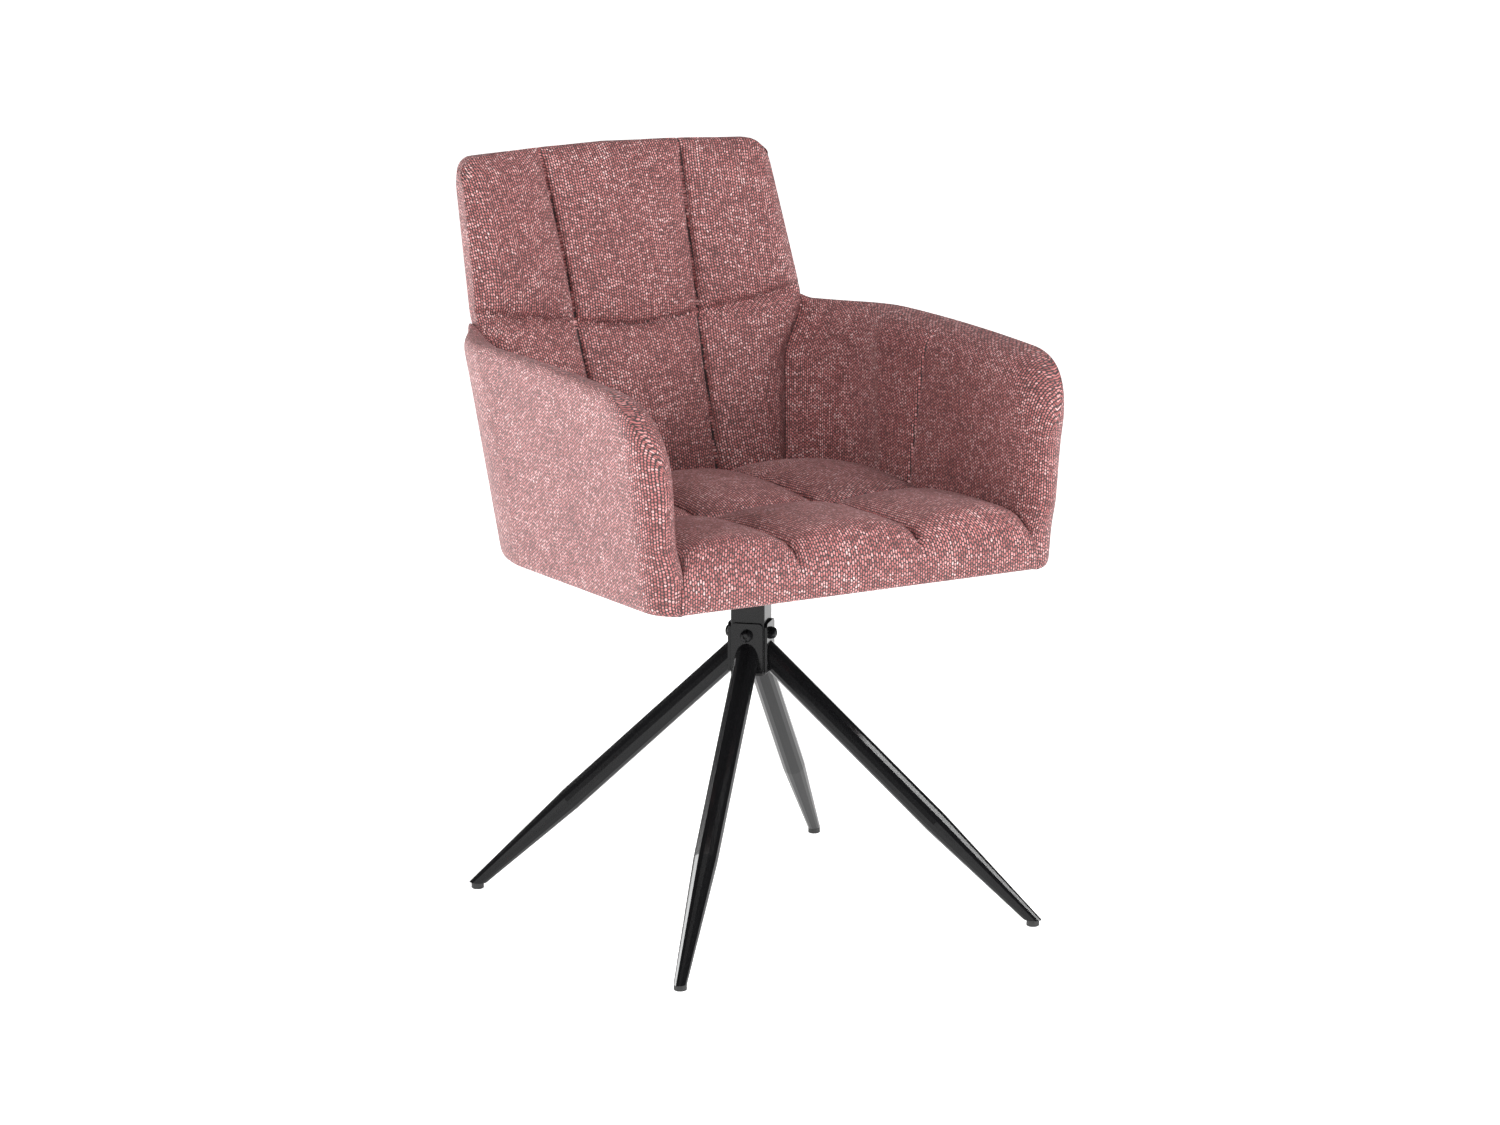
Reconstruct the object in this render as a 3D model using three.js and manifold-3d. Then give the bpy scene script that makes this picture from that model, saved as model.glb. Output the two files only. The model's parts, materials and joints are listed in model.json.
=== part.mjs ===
// Upholstered swivel armchair on four splayed legs.
// Units are millimetres, +Z is up, the floor is z = 0 and the chair faces -Y.
// The origin is the middle of the chair's footprint box at floor level.

import * as THREE from 'three';
import { mergeVertices } from 'three/addons/utils/BufferGeometryUtils.js';
import Module from 'manifold-3d';

const wasm = await Module();
wasm.setup();

// ---------------------------------------------------------------- driving dimensions

const GAP = 0.3; // clearance kept between touching pieces
const LAYER_GAP = 1.5; // clearance kept between the curved layers of the upholstery
const SEAM_GAP = 1.8; // clearance along the seam between arm and back
const AXIS_Y = -53.85; // the swivel axis stands this far from the middle of the footprint box

// legs and column
const FOOT_CIRCLE = 333; // radius of the circle on which the leg ends stand
const LEG_RADIUS = 14;
const LEG_TIP_RADIUS = 7.5;
const LEG_WALL = 1.5;
const LEG_TAPER_START = 0.63; // share of the leg's length that keeps the full diameter
const LEG_TOP_Z = 301; // height at which a leg's centre line meets its bracket
const GLIDE_HEIGHT = 7;
const GLIDE_RADIUS = 7.5;
const COLUMN_SIDE = 40;
const COLUMN_WALL = 2;
const COLUMN_CORNER = 3; // rounding of the column's outer corners
const BORE_CORNER = 1.5; // rounding of the column's inner corners
const COLUMN_BOTTOM = 285;
const COLUMN_TOP = 398;
const BRACKET_BOTTOM = 286;
const BRACKET_TOP = 343;
const BRACKET_WIDTH = 38;
const BRACKET_THICK = 3;
const BRACKET_BOLT_Z = 329;
const BRACKET_BOLT_RADIUS = 4;
const WASHER_THICK = 1.6;

// swivel bearing
const SPINDLE_RADIUS = 10;
const SPINDLE_BOTTOM = 303.3;
const FLANGE_THICK = 3; // the upper bush's flange and the column plug's cap
const END_SCREW_RADIUS = 4; // the screw in the spindle's lower end
const END_WASHER_THICK = 2;
const COLLAR_RADIUS = 17;
const COLLAR_BOTTOM = 403.9;
const PLATE_TOP = 418.3;
const PLATE_THICK = 3;
const PLATE_SIDE = 160;
const PLATE_BOLT_OFFSET = 65;
const PLATE_BOLT_RADIUS = 3;
const TEE_NUT_RADIUS = 4.5;

// tub: the outer face of the upholstery
const TUB_BOTTOM = 419;
const TUB_FRONT = -237;
const BOTTOM_HALF_WIDTH = 264;
const SIDE_LEAN = 0.11;
const CORNER_RADIUS = 172;
const CORNER_Y = 69; // centre of the rear corner's arc at the bottom edge
const CORNER_LEAN = 0.15;
const CORNER_SEAM_ANGLE = 57.5; // degrees on the corner arc where the arm meets the back
const REAR_Y = 255;
const REAR_LEAN = 0.169;
const BACK_LEAN = 0.29; // lean of the rear face above the arms
const REAR_WRAP = 5.95e-4; // the rear face curves forward by this times x squared
const REAR_WRAP_LOSS = 1.18e-6; // the curve flattens by this per millimetre above the arms
const ARM_LEVEL = 656;
const ARM_BLEND = 20; // height over which the lean changes at the arms' level
const WRAPPED_BELOW = 600; // the arms wrap the back fully up to this height
const FREE_ABOVE = 684; // and the back stands free of them from this one
const FREE_HALF_WIDTH = 223; // the free back's half width at its lower end
const FREE_TAPER = 0.0755;
const BACK_TOP = 864;
const BACK_TOP_DROP = 6; // the back's top edge is this much lower at its corners
const BACK_CORNER = 24; // radius of the back's top corners

// tub: the inner faces
const INNER_BACK_Y = 261; // sewn valleys of the inner back at SEAM_LEVEL
const INNER_BACK_LEAN = 0.327;
const SEAM_LEVEL = 661;
const INNER_WRAP = 4e-4; // the inner back curves forward by this times x squared
const INNER_ARM_X = 228; // inner face of the arm at z = 480
const INNER_ARM_LEAN = 0.07;
const SEAT_HALF_WIDTH = 167; // half width of the inner back at z = 480
const SEAT_HALF_LEAN = 0.175;

// arms
const ARM_CREST = 669;
const ARM_CREST_Y = 110;
const ARM_CREST_SAG = 1.35e-4;
const ARM_FRONT_RADIUS = 70; // rounding of the arm's top front corner, seen from the side
const ARM_EDGE_RADIUS = 32; // rounding of the arm's outer top edge
const ARM_NOSE_RADIUS = 34; // rounding of the arm's outer front edge, seen from above
const ARM_INNER_RADIUS = 9; // rounding of the arm's inner top and front edges
const FULL_THICK = 40; // the arm's layers thin out in step where its wall is thinner than this

// layers of the upholstery
const ARM_COVER = 14;
const BACK_COVER = 6;
const ARM_BOARD = 12;
const BACK_BOARD = 9;
const SEAT_BOARD = 15;
const SEAT_BOARD_BOTTOM = 421;
const SEAT_BOARD_TOP = SEAT_BOARD_BOTTOM + SEAT_BOARD;
const BAND_THICK = 14; // foam strip along the seat's front edge
const SCREW_Z = 428.5; // height of the screws that hold the wall boards to the seat board
const ARM_SCREWS_Y = [-150, 20];
const BACK_SCREWS_X = [-70, 70];
const SCREW_SINK = 2.2; // depth of the screw heads in their counterbores
const SEAT_VALLEY = 472;
const SEAT_PUFF = 25;
const BACK_PUFF = 16;
const SEAM_X = 80; // the two lengthwise quilting seams
const SEAT_SEAM_Y = -25; // the quilting seam across the seat

const COLOURS = {
  fabric: { color: 0xa4595f, roughness: 0.95, metalness: 0 },
  steel: { color: 0x101012, roughness: 0.28, metalness: 0.6 },
  zinc: { color: 0x9a9da0, roughness: 0.35, metalness: 0.9 },
  plastic: { color: 0x141414, roughness: 0.6, metalness: 0 },
  nylon: { color: 0xd9d6cc, roughness: 0.5, metalness: 0 },
  plywood: { color: 0xc9a671, roughness: 0.75, metalness: 0 },
  felt: { color: 0x1c1c1e, roughness: 1, metalness: 0 },
};
const materials = {};
for (const [name, look] of Object.entries(COLOURS)) {
  materials[name] = new THREE.MeshStandardMaterial(look);
}

// ---------------------------------------------------------------- small helpers

const radians = THREE.MathUtils.degToRad;
const lerp = THREE.MathUtils.lerp;
const smoothstep = THREE.MathUtils.smoothstep;

// Position-only copy of a geometry with its shared vertices merged.
function welded(geometry) {
  const bare = geometry.clone();
  bare.deleteAttribute('normal');
  bare.deleteAttribute('uv');
  return mergeVertices(bare, 1e-4);
}

function toManifold(geometry) {
  const mesh = welded(geometry);
  return new wasm.Manifold(new wasm.Mesh({
    numProp: 3,
    vertProperties: new Float32Array(mesh.attributes.position.array),
    triVerts: new Uint32Array(mesh.index.array),
  }));
}

function fromManifold(solid) {
  const mesh = solid.getMesh();
  const geometry = new THREE.BufferGeometry();
  geometry.setAttribute('position', new THREE.BufferAttribute(mesh.vertProperties, 3));
  geometry.setIndex(new THREE.BufferAttribute(mesh.triVerts, 1));
  geometry.computeVertexNormals();
  return geometry;
}

function cut(geometry, ...tools) {
  let solid = toManifold(geometry);
  for (const tool of tools) solid = solid.subtract(toManifold(tool));
  return fromManifold(solid);
}

function join(geometry, ...others) {
  let solid = toManifold(geometry);
  for (const other of others) solid = solid.add(toManifold(other));
  return fromManifold(solid);
}

// Box between two corners.
function box(low, high) {
  const size = high.map((value, i) => value - low[i]);
  const middle = high.map((value, i) => (value + low[i]) / 2);
  return new THREE.BoxGeometry(...size).translate(...middle);
}

// Upright solid of revolution from [radius, z] pairs, closed on itself or on the axis.
function turned(profile, segments = 16) {
  const points = profile.map(([r, z]) => new THREE.Vector2(r, z));
  return new THREE.LatheGeometry(points, segments).rotateX(Math.PI / 2);
}

function disc(radius, bottom, top, segments = 16) {
  return turned([[0, bottom], [radius, bottom], [radius, top], [0, top]], segments);
}

function ring(inner, outer, bottom, top, segments = 16) {
  const profile = [[inner, bottom], [outer, bottom], [outer, top], [inner, top], [inner, bottom]];
  return turned(profile, segments);
}

// Rounded square outline centred on the origin.
function roundedSquare(side, radius, path = new THREE.Shape()) {
  const half = side / 2;
  const inner = half - radius;
  path.moveTo(inner, -half);
  path.absarc(inner, -inner, radius, -Math.PI / 2, 0);
  path.absarc(inner, inner, radius, 0, Math.PI / 2);
  path.absarc(-inner, inner, radius, Math.PI / 2, Math.PI);
  path.absarc(-inner, -inner, radius, Math.PI, 1.5 * Math.PI);
  return path;
}

function extruded(shape, bottom, top, curveSegments = 4) {
  const options = { depth: top - bottom, bevelEnabled: false, curveSegments };
  return new THREE.ExtrudeGeometry(shape, options).translate(0, 0, bottom);
}

// Closed slab between two faces, each given as a function of (row, column) that
// returns [x, y, z]. Rows run along the slab and columns run across it.
function slab(outer, inner, rows, columns) {
  const positions = [];
  const indices = [];
  const side = (rows + 1) * (columns + 1);
  const at = (i, j) => i * (columns + 1) + j;
  for (const face of [outer, inner]) {
    for (let i = 0; i <= rows; i++) {
      for (let j = 0; j <= columns; j++) positions.push(...face(i, j));
    }
  }
  const quad = (a, b, c, d) => indices.push(a, b, c, a, c, d);
  for (let i = 0; i < rows; i++) {
    for (let j = 0; j < columns; j++) {
      quad(at(i, j), at(i + 1, j), at(i + 1, j + 1), at(i, j + 1));
      quad(side + at(i, j), side + at(i, j + 1), side + at(i + 1, j + 1), side + at(i + 1, j));
    }
    quad(at(i, 0), side + at(i, 0), side + at(i + 1, 0), at(i + 1, 0));
    quad(at(i, columns), at(i + 1, columns), side + at(i + 1, columns), side + at(i, columns));
  }
  for (let j = 0; j < columns; j++) {
    quad(at(0, j), at(0, j + 1), side + at(0, j + 1), side + at(0, j));
    quad(at(rows, j), side + at(rows, j), side + at(rows, j + 1), at(rows, j + 1));
  }
  const geometry = new THREE.BufferGeometry();
  geometry.setAttribute('position', new THREE.Float32BufferAttribute(positions, 3));
  if (signedVolume(positions, indices) < 0) indices.reverse();
  geometry.setIndex(indices);
  geometry.computeVertexNormals();
  return geometry;
}

function signedVolume(positions, indices) {
  const corner = (k) => new THREE.Vector3().fromArray(positions, 3 * indices[k]);
  let volume = 0;
  for (let k = 0; k < indices.length; k += 3) {
    volume += corner(k).dot(corner(k + 1).cross(corner(k + 2))) / 6;
  }
  return volume;
}

// ---------------------------------------------------------------- the object

const group = new THREE.Group();
const chair = new THREE.Group(); // the chair about its swivel axis
chair.position.set(0, AXIS_Y, 0);
group.add(chair);

function add(name, geometry, look, parent = chair) {
  const mesh = new THREE.Mesh(geometry, materials[look]);
  mesh.name = name;
  parent.add(mesh);
  return mesh;
}

// ---------------------------------------------------------------- legs

const bracketFace = COLUMN_SIDE / 2 + GAP + BRACKET_THICK;
const legTop = new THREE.Vector3(bracketFace, 0, LEG_TOP_Z);
const legTip = new THREE.Vector3(FOOT_CIRCLE, 0, GLIDE_HEIGHT + GAP);
const legLength = legTop.distanceTo(legTip);
const legDirection = legTip.clone().sub(legTop).normalize();
const upright = new THREE.Vector3(0, 0, 1);

// Turns geometry that stands on the origin to run from a point along the leg.
function alongLeg(geometry, start) {
  const turn = new THREE.Quaternion().setFromUnitVectors(upright, legDirection);
  return geometry.applyQuaternion(turn).translate(start.x, start.y, start.z);
}

function legTube() {
  const over = 24; // extra length that the end cuts take off
  const taper = LEG_TAPER_START * legLength + over;
  const end = legLength + 2 * over;
  const slope = (LEG_RADIUS - LEG_TIP_RADIUS) / (legLength - LEG_TAPER_START * legLength);
  const endRadius = LEG_TIP_RADIUS - slope * over;
  const profile = [
    [LEG_RADIUS, 0],
    [LEG_RADIUS, taper],
    [endRadius, end],
    [endRadius - LEG_WALL, end],
    [LEG_RADIUS - LEG_WALL, taper],
    [LEG_RADIUS - LEG_WALL, 0],
    [LEG_RADIUS, 0],
  ];
  const start = legTop.clone().addScaledVector(legDirection, -over);
  const tube = alongLeg(turned(profile), start);
  const hubSide = box([-100, -60, 200], [bracketFace + GAP, 60, 400]);
  const floorSide = box([200, -60, -60], [450, 60, GLIDE_HEIGHT + GAP]);
  return cut(tube, hubSide, floorSide);
}

function legGlide() {
  const chamfer = 1;
  const foot = turned([
    [0, 0],
    [GLIDE_RADIUS - chamfer, 0],
    [GLIDE_RADIUS, chamfer],
    [GLIDE_RADIUS, GLIDE_HEIGHT],
    [0, GLIDE_HEIGHT],
  ], 14).translate(FOOT_CIRCLE, 0, 0);
  const plugRadius = LEG_TIP_RADIUS - LEG_WALL - 2 * GAP;
  const plugStart = legTip.clone().addScaledVector(legDirection, -12);
  const plug = alongLeg(disc(plugRadius, 0, 17, 10), plugStart);
  const below = box([250, -60, -60], [450, 60, 2]);
  return join(foot, cut(plug, below));
}

function legBracket() {
  const half = BRACKET_WIDTH / 2;
  const corner = 5;
  const shape = new THREE.Shape();
  shape.moveTo(-half, BRACKET_BOTTOM);
  shape.lineTo(half, BRACKET_BOTTOM);
  shape.absarc(half - corner, BRACKET_TOP - corner, corner, 0, Math.PI / 2);
  shape.absarc(-half + corner, BRACKET_TOP - corner, corner, Math.PI / 2, Math.PI);
  const hole = new THREE.Path();
  hole.absarc(0, BRACKET_BOLT_Z, BRACKET_BOLT_RADIUS + GAP, 0, 2 * Math.PI, true);
  shape.holes.push(hole);
  const plate = extruded(shape, 0, BRACKET_THICK, 6);
  plate.rotateX(Math.PI / 2).rotateZ(Math.PI / 2);
  return plate.translate(bracketFace - BRACKET_THICK, 0, 0);
}

// Turns geometry built upright about the origin to point out of a column face.
function outOfColumn(geometry, distance) {
  return geometry.rotateY(Math.PI / 2).translate(distance, 0, BRACKET_BOLT_Z);
}

function bracketWasher() {
  const washer = ring(BRACKET_BOLT_RADIUS + GAP, 7.5, 0, WASHER_THICK, 12);
  return outOfColumn(washer, bracketFace + GAP);
}

// Domed head with a hexagon socket, and its shank.
function socketBolt(shank, headRadius, headHeight, shankRadius, segments) {
  const dome = turned([
    [0, -shank],
    [shankRadius, -shank],
    [shankRadius, 0],
    [headRadius, 0],
    [headRadius, 0.3 * headHeight],
    [0.82 * headRadius, 0.78 * headHeight],
    [0.5 * headRadius, headHeight],
    [0, headHeight],
  ], segments);
  const socketRadius = 0.42 * headRadius;
  const socket = new THREE.CylinderGeometry(socketRadius, socketRadius, headHeight, 6);
  socket.rotateX(Math.PI / 2).translate(0, 0, headHeight);
  return cut(dome, socket);
}

function bracketBolt() {
  const bolt = socketBolt(12, 7, 4.6, BRACKET_BOLT_RADIUS, 12);
  return outOfColumn(bolt, bracketFace + WASHER_THICK + 2 * GAP);
}

function weldNut() {
  const shape = new THREE.Shape();
  for (let k = 0; k < 6; k++) {
    const angle = k * Math.PI / 3;
    const point = [7.4 * Math.cos(angle), 7.4 * Math.sin(angle)];
    if (k === 0) shape.moveTo(...point);
    else shape.lineTo(...point);
  }
  const hole = new THREE.Path();
  hole.absarc(0, 0, BRACKET_BOLT_RADIUS + GAP, 0, 2 * Math.PI, true);
  shape.holes.push(hole);
  const nut = extruded(shape, -6, 0, 6);
  return outOfColumn(nut, COLUMN_SIDE / 2 - COLUMN_WALL - GAP);
}

const legNames = ['rear_right', 'rear_left', 'front_left', 'front_right'];
legNames.forEach((name, k) => {
  const arm = new THREE.Group();
  arm.rotation.z = radians(45 + 90 * k);
  chair.add(arm);
  add(`leg_${name}`, legTube(), 'steel', arm);
  add(`glide_${name}`, legGlide(), 'plastic', arm);
  add(`bracket_${name}`, legBracket(), 'steel', arm);
  add(`bracket_bolt_${name}`, bracketBolt(), 'steel', arm);
  add(`bracket_washer_${name}`, bracketWasher(), 'steel', arm);
  add(`weld_nut_${name}`, weldNut(), 'zinc', arm);
});

// ---------------------------------------------------------------- column and bearing

// The column's faces look along the legs, so it is built square-on and turned.
const columnGroup = new THREE.Group();
columnGroup.rotation.z = radians(45);
chair.add(columnGroup);

const boreSide = COLUMN_SIDE - 2 * COLUMN_WALL;
const columnOutline = () => roundedSquare(COLUMN_SIDE, COLUMN_CORNER);

function column() {
  const shape = columnOutline();
  shape.holes.push(roundedSquare(boreSide, BORE_CORNER, new THREE.Path()));
  const tube = extruded(shape, COLUMN_BOTTOM, COLUMN_TOP, 3);
  const drill = disc(BRACKET_BOLT_RADIUS + GAP, -40, 40, 12);
  const along = drill.clone().rotateY(Math.PI / 2).translate(0, 0, BRACKET_BOLT_Z);
  const across = drill.clone().rotateX(Math.PI / 2).translate(0, 0, BRACKET_BOLT_Z);
  return cut(tube, along, across);
}

function bush(bottom, top, flange) {
  const side = boreSide - 2 * GAP;
  const body = extruded(roundedSquare(side, BORE_CORNER), bottom, top, 2);
  const bore = disc(SPINDLE_RADIUS + GAP, bottom - 5, top + 10);
  if (!flange) return cut(body, bore);
  const neck = extruded(roundedSquare(side, BORE_CORNER), top - 1, top + 1, 2);
  const rimBottom = top + GAP;
  const rim = extruded(columnOutline(), rimBottom, rimBottom + FLANGE_THICK, 3);
  return cut(join(body, neck, rim), bore);
}

function columnPlug() {
  const capTop = COLUMN_BOTTOM - GAP;
  const cap = extruded(columnOutline(), capTop - FLANGE_THICK, capTop, 3);
  const bossOutline = roundedSquare(boreSide - 2 * GAP, BORE_CORNER);
  const boss = extruded(bossOutline, COLUMN_BOTTOM - 1, COLUMN_BOTTOM + 6, 2);
  return join(cap, boss);
}

add('column', column(), 'steel', columnGroup);
add('upper_bush', bush(378, COLUMN_TOP, true), 'nylon', columnGroup);
add('lower_bush', bush(304, 320, false), 'nylon', columnGroup);
add('column_plug', columnPlug(), 'plastic', columnGroup);
add('thrust_washer', ring(SPINDLE_RADIUS + GAP, COLLAR_RADIUS, 401.6, 403.6), 'zinc');

function spindle() {
  const plateBottom = PLATE_TOP - PLATE_THICK;
  const boreRadius = END_SCREW_RADIUS + GAP;
  return turned([
    [boreRadius, SPINDLE_BOTTOM],
    [SPINDLE_RADIUS, SPINDLE_BOTTOM],
    [SPINDLE_RADIUS, COLLAR_BOTTOM],
    [COLLAR_RADIUS, COLLAR_BOTTOM],
    [COLLAR_RADIUS, plateBottom - GAP],
    [0, plateBottom - GAP],
    [0, SPINDLE_BOTTOM + 24],
    [boreRadius, SPINDLE_BOTTOM + 24],
    [boreRadius, SPINDLE_BOTTOM],
  ]);
}

function plateCorners() {
  const spots = [];
  for (const x of [-PLATE_BOLT_OFFSET, PLATE_BOLT_OFFSET]) {
    for (const y of [-PLATE_BOLT_OFFSET, PLATE_BOLT_OFFSET]) spots.push([x, y]);
  }
  return spots;
}

function holes(radius, bottom, top) {
  return plateCorners().map(([x, y]) => disc(radius, bottom, top, 8).translate(x, y, 0));
}

function topPlate() {
  const plate = extruded(roundedSquare(PLATE_SIDE, 12), PLATE_TOP - PLATE_THICK, PLATE_TOP, 3);
  return cut(plate, ...holes(PLATE_BOLT_RADIUS + GAP, 400, 430));
}

add('spindle', spindle(), 'steel');
add('retaining_washer', retainingWasher(), 'zinc');
add('retaining_screw', retainingScrew(), 'zinc');
add('top_plate', topPlate(), 'steel');

function retainingWasher() {
  const top = SPINDLE_BOTTOM - GAP;
  return ring(END_SCREW_RADIUS + GAP, 15, top - END_WASHER_THICK, top);
}

function retainingScrew() {
  const screw = socketBolt(20, 6.5, 4.6, END_SCREW_RADIUS, 12);
  return screw.rotateX(Math.PI).translate(0, 0, SPINDLE_BOTTOM - END_WASHER_THICK - 2 * GAP);
}

// ---------------------------------------------------------------- tub surfaces

const halfWidth = (z) => BOTTOM_HALF_WIDTH + SIDE_LEAN * (z - TUB_BOTTOM);
const cornerX = (z) => halfWidth(z) - CORNER_RADIUS;
const cornerY = (z) => CORNER_Y + CORNER_LEAN * (z - TUB_BOTTOM);
const innerArmX = (z) => INNER_ARM_X + INNER_ARM_LEAN * (z - 480);

// Height above the arms, rising smoothly from zero.
function aboveArms(z) {
  const s = z - ARM_LEVEL;
  return (s + Math.hypot(s, ARM_BLEND)) / 2;
}

// 0 where the arms wrap the back, 1 where the back stands free above them.
const free = (z) => smoothstep(z, WRAPPED_BELOW, FREE_ABOVE);

function rearMiddle(z) {
  return REAR_Y + REAR_LEAN * (z - TUB_BOTTOM) + (BACK_LEAN - REAR_LEAN) * aboveArms(z);
}

// Rear face of the back at a distance x from the middle.
function rearY(x, z) {
  const droop = REAR_WRAP - REAR_WRAP_LOSS * Math.max(0, z - 650);
  const sheet = rearMiddle(z) - droop * x * x;
  const past = Math.min(Math.max(0, Math.abs(x) - cornerX(z)), CORNER_RADIUS);
  const arc = cornerY(z) + Math.sqrt(CORNER_RADIUS ** 2 - past ** 2);
  return lerp(Math.min(sheet, arc), sheet, free(z));
}

// Inner face of the back, without its quilting.
function innerBackY(x, z) {
  return INNER_BACK_Y + INNER_BACK_LEAN * (z - SEAM_LEVEL) - INNER_WRAP * x * x;
}

// Half widths of the back at its rear and inner edges.
const seamCos = Math.cos(radians(CORNER_SEAM_ANGLE));
const seamSin = Math.sin(radians(CORNER_SEAM_ANGLE));
const freeEdge = (z) => FREE_HALF_WIDTH - FREE_TAPER * (z - 681);
const rearEdgeX = (z) => lerp(cornerX(z) + CORNER_RADIUS * seamCos, freeEdge(z), free(z));
const wrappedEdge = (z) => SEAT_HALF_WIDTH + SEAT_HALF_LEAN * (z - 480);
const innerEdgeX = (z) => lerp(wrappedEdge(z), freeEdge(z), free(z));

// A point of the arm's wall. Along runs from 0 at the corner seam over 1 at the
// start of the straight side to 2 at the front; depth is measured in from the
// outer face, and the inner face lies at depth 1.
function armWall(along, depth, z) {
  const outerEnd = [rearEdgeX(z), rearY(rearEdgeX(z), z)];
  const innerEnd = [innerEdgeX(z), innerBackY(innerEdgeX(z), z)];
  const centre = [cornerX(z), cornerY(z)];
  const sideThick = halfWidth(z) - innerArmX(z);
  if (along >= 1) {
    const y = lerp(centre[1], TUB_FRONT, along - 1);
    return [halfWidth(z) - depth * sideThick, y];
  }
  const endPoint = outerEnd.map((value, k) => lerp(value, innerEnd[k], depth));
  const endRadius = Math.hypot(endPoint[0] - centre[0], endPoint[1] - centre[1]);
  const endAngle = Math.atan2(endPoint[1] - centre[1], endPoint[0] - centre[0]);
  const blend = (1 - along) ** 2 * (1 + 2 * along);
  const radius = lerp(CORNER_RADIUS - depth * sideThick, endRadius, blend);
  const angle = endAngle * (1 - along);
  return [centre[0] + radius * Math.cos(angle), centre[1] + radius * Math.sin(angle)];
}

// Wall thickness of the arm at a station.
function armThickness(along, z) {
  const outer = armWall(along, 0, z);
  const inner = armWall(along, 1, z);
  return Math.hypot(outer[0] - inner[0], outer[1] - inner[1]);
}

// Height of the arm's crest where its wall passes y.
function armCrest(y) {
  const level = ARM_CREST - ARM_CREST_SAG * (y - ARM_CREST_Y) ** 2;
  const nose = TUB_FRONT + ARM_FRONT_RADIUS - y;
  if (nose <= 0) return level;
  const drop = ARM_FRONT_RADIUS - Math.sqrt(Math.max(0, ARM_FRONT_RADIUS ** 2 - nose ** 2));
  return level - drop;
}

// How far a circular edge of a radius has fallen away at a distance from its end.
function rounding(radius, distance) {
  if (distance >= radius) return 0;
  return radius - Math.sqrt(radius ** 2 - (radius - Math.max(0, distance)) ** 2);
}

// ---------------------------------------------------------------- arms

// Slab inside the arm's wall. Depths are in millimetres from the outer face, and
// beyond is counted from the inner face. The margins keep the slab short of the
// crest, of the front end and of the corner seam. All slabs share their inside rows
// and stations, so that the facets of neighbouring layers lie parallel.
function armLayer(form) {
  const { side, bottom, depth = 0, stop = null, beyond = 0 } = form;
  const { top = 0, front = 0, rear = SEAM_GAP } = form;
  const rounded = depth === 0;
  const shares = [0.3, 0.6, 0.85, 1];
  const falls = rounded ? [11, 5, 1.5, 0] : [top];
  const stations = [0, 0.17, 0.38, 0.6, 0.8, 1, 1.4, 1.78, 1.86];
  stations.push(...(rounded ? [1.93, 1.975, 2] : [2]));
  const stationY = (station) => {
    if (station <= 1) return armWall(station, 0, ARM_CREST)[1];
    const last = station === 2 ? front : 0;
    return lerp(cornerY(ARM_CREST), TUB_FRONT, station - 1) + last;
  };
  const place = (station, j, inner) => {
    const y = stationY(station);
    const crest = armCrest(y);
    let z = bottom;
    if (j > 0 && j <= shares.length) z = lerp(TUB_BOTTOM, crest - 20, shares[j - 1]);
    if (j > shares.length) z = crest - falls[j - shares.length - 1];
    const along = station > 1 ? 1 + (cornerY(z) - y) / (cornerY(z) - TUB_FRONT) : station;
    const thick = armThickness(along, z);
    const scale = Math.min(1, thick / FULL_THICK);
    let inward = depth * scale;
    if (inner) inward = stop === null ? thick + beyond : stop * scale;
    if (rounded && !inner) {
      const edge = rounding(Math.min(ARM_EDGE_RADIUS, 0.5 * thick), crest - z);
      const nose = rounding(ARM_NOSE_RADIUS, y - TUB_FRONT);
      inward = Math.min(Math.max(edge, nose), thick - 10);
    }
    if (rounded && inner) {
      const edge = rounding(Math.min(ARM_INNER_RADIUS, 0.25 * thick), crest - z);
      inward -= Math.max(edge, rounding(ARM_INNER_RADIUS, y - TUB_FRONT));
    }
    const point = armWall(along, inward / thick, z);
    return [side * point[0], point[1], z];
  };
  // The end at the corner seam slides along its facet by the rear margin.
  const face = (inner) => (i, j) => {
    const point = place(stations[i], j, inner);
    if (i > 0) return point;
    const next = place(stations[1], j, inner);
    const share = rear / Math.hypot(next[0] - point[0], next[1] - point[1]);
    return point.map((value, k) => lerp(value, next[k], share));
  };
  return slab(face(false), face(true), stations.length - 1, shares.length + falls.length);
}

function addArm(side, name) {
  const whole = armLayer({ side, bottom: TUB_BOTTOM });
  const hollow = armLayer({
    side,
    depth: ARM_COVER,
    beyond: 30,
    bottom: TUB_BOTTOM - 8,
    top: ARM_COVER,
    front: ARM_COVER,
    rear: -10,
  });
  const boardDepth = ARM_COVER + LAYER_GAP;
  const padDepth = boardDepth + ARM_BOARD + LAYER_GAP;
  add(`arm_cover_${name}`, cut(whole, hollow), 'fabric');
  const board = armLayer({
    side,
    depth: boardDepth,
    stop: boardDepth + ARM_BOARD,
    bottom: SEAT_BOARD_BOTTOM,
    top: ARM_COVER + 5,
    front: ARM_COVER + 12,
    rear: 14,
  });
  const drills = ARM_SCREWS_Y.map((y) => armScrewPlace(counterbore(), side, y));
  add(`arm_board_${name}`, cut(board, ...drills), 'plywood');
  add(`arm_pad_${name}`, armLayer({
    side,
    depth: padDepth,
    bottom: SEAT_BOARD_TOP + GAP,
    top: ARM_COVER + LAYER_GAP,
    front: ARM_COVER + LAYER_GAP,
    rear: 10,
  }), 'fabric');
}

addArm(1, 'right');
addArm(-1, 'left');

// ---------------------------------------------------------------- back

// Height of the back's top edge, from its middle (0) to its side (1).
function backTop(across) {
  const edge = freeEdge(BACK_TOP) * (1 - Math.abs(across));
  return BACK_TOP - BACK_TOP_DROP * across * across - rounding(BACK_CORNER, edge);
}

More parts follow.
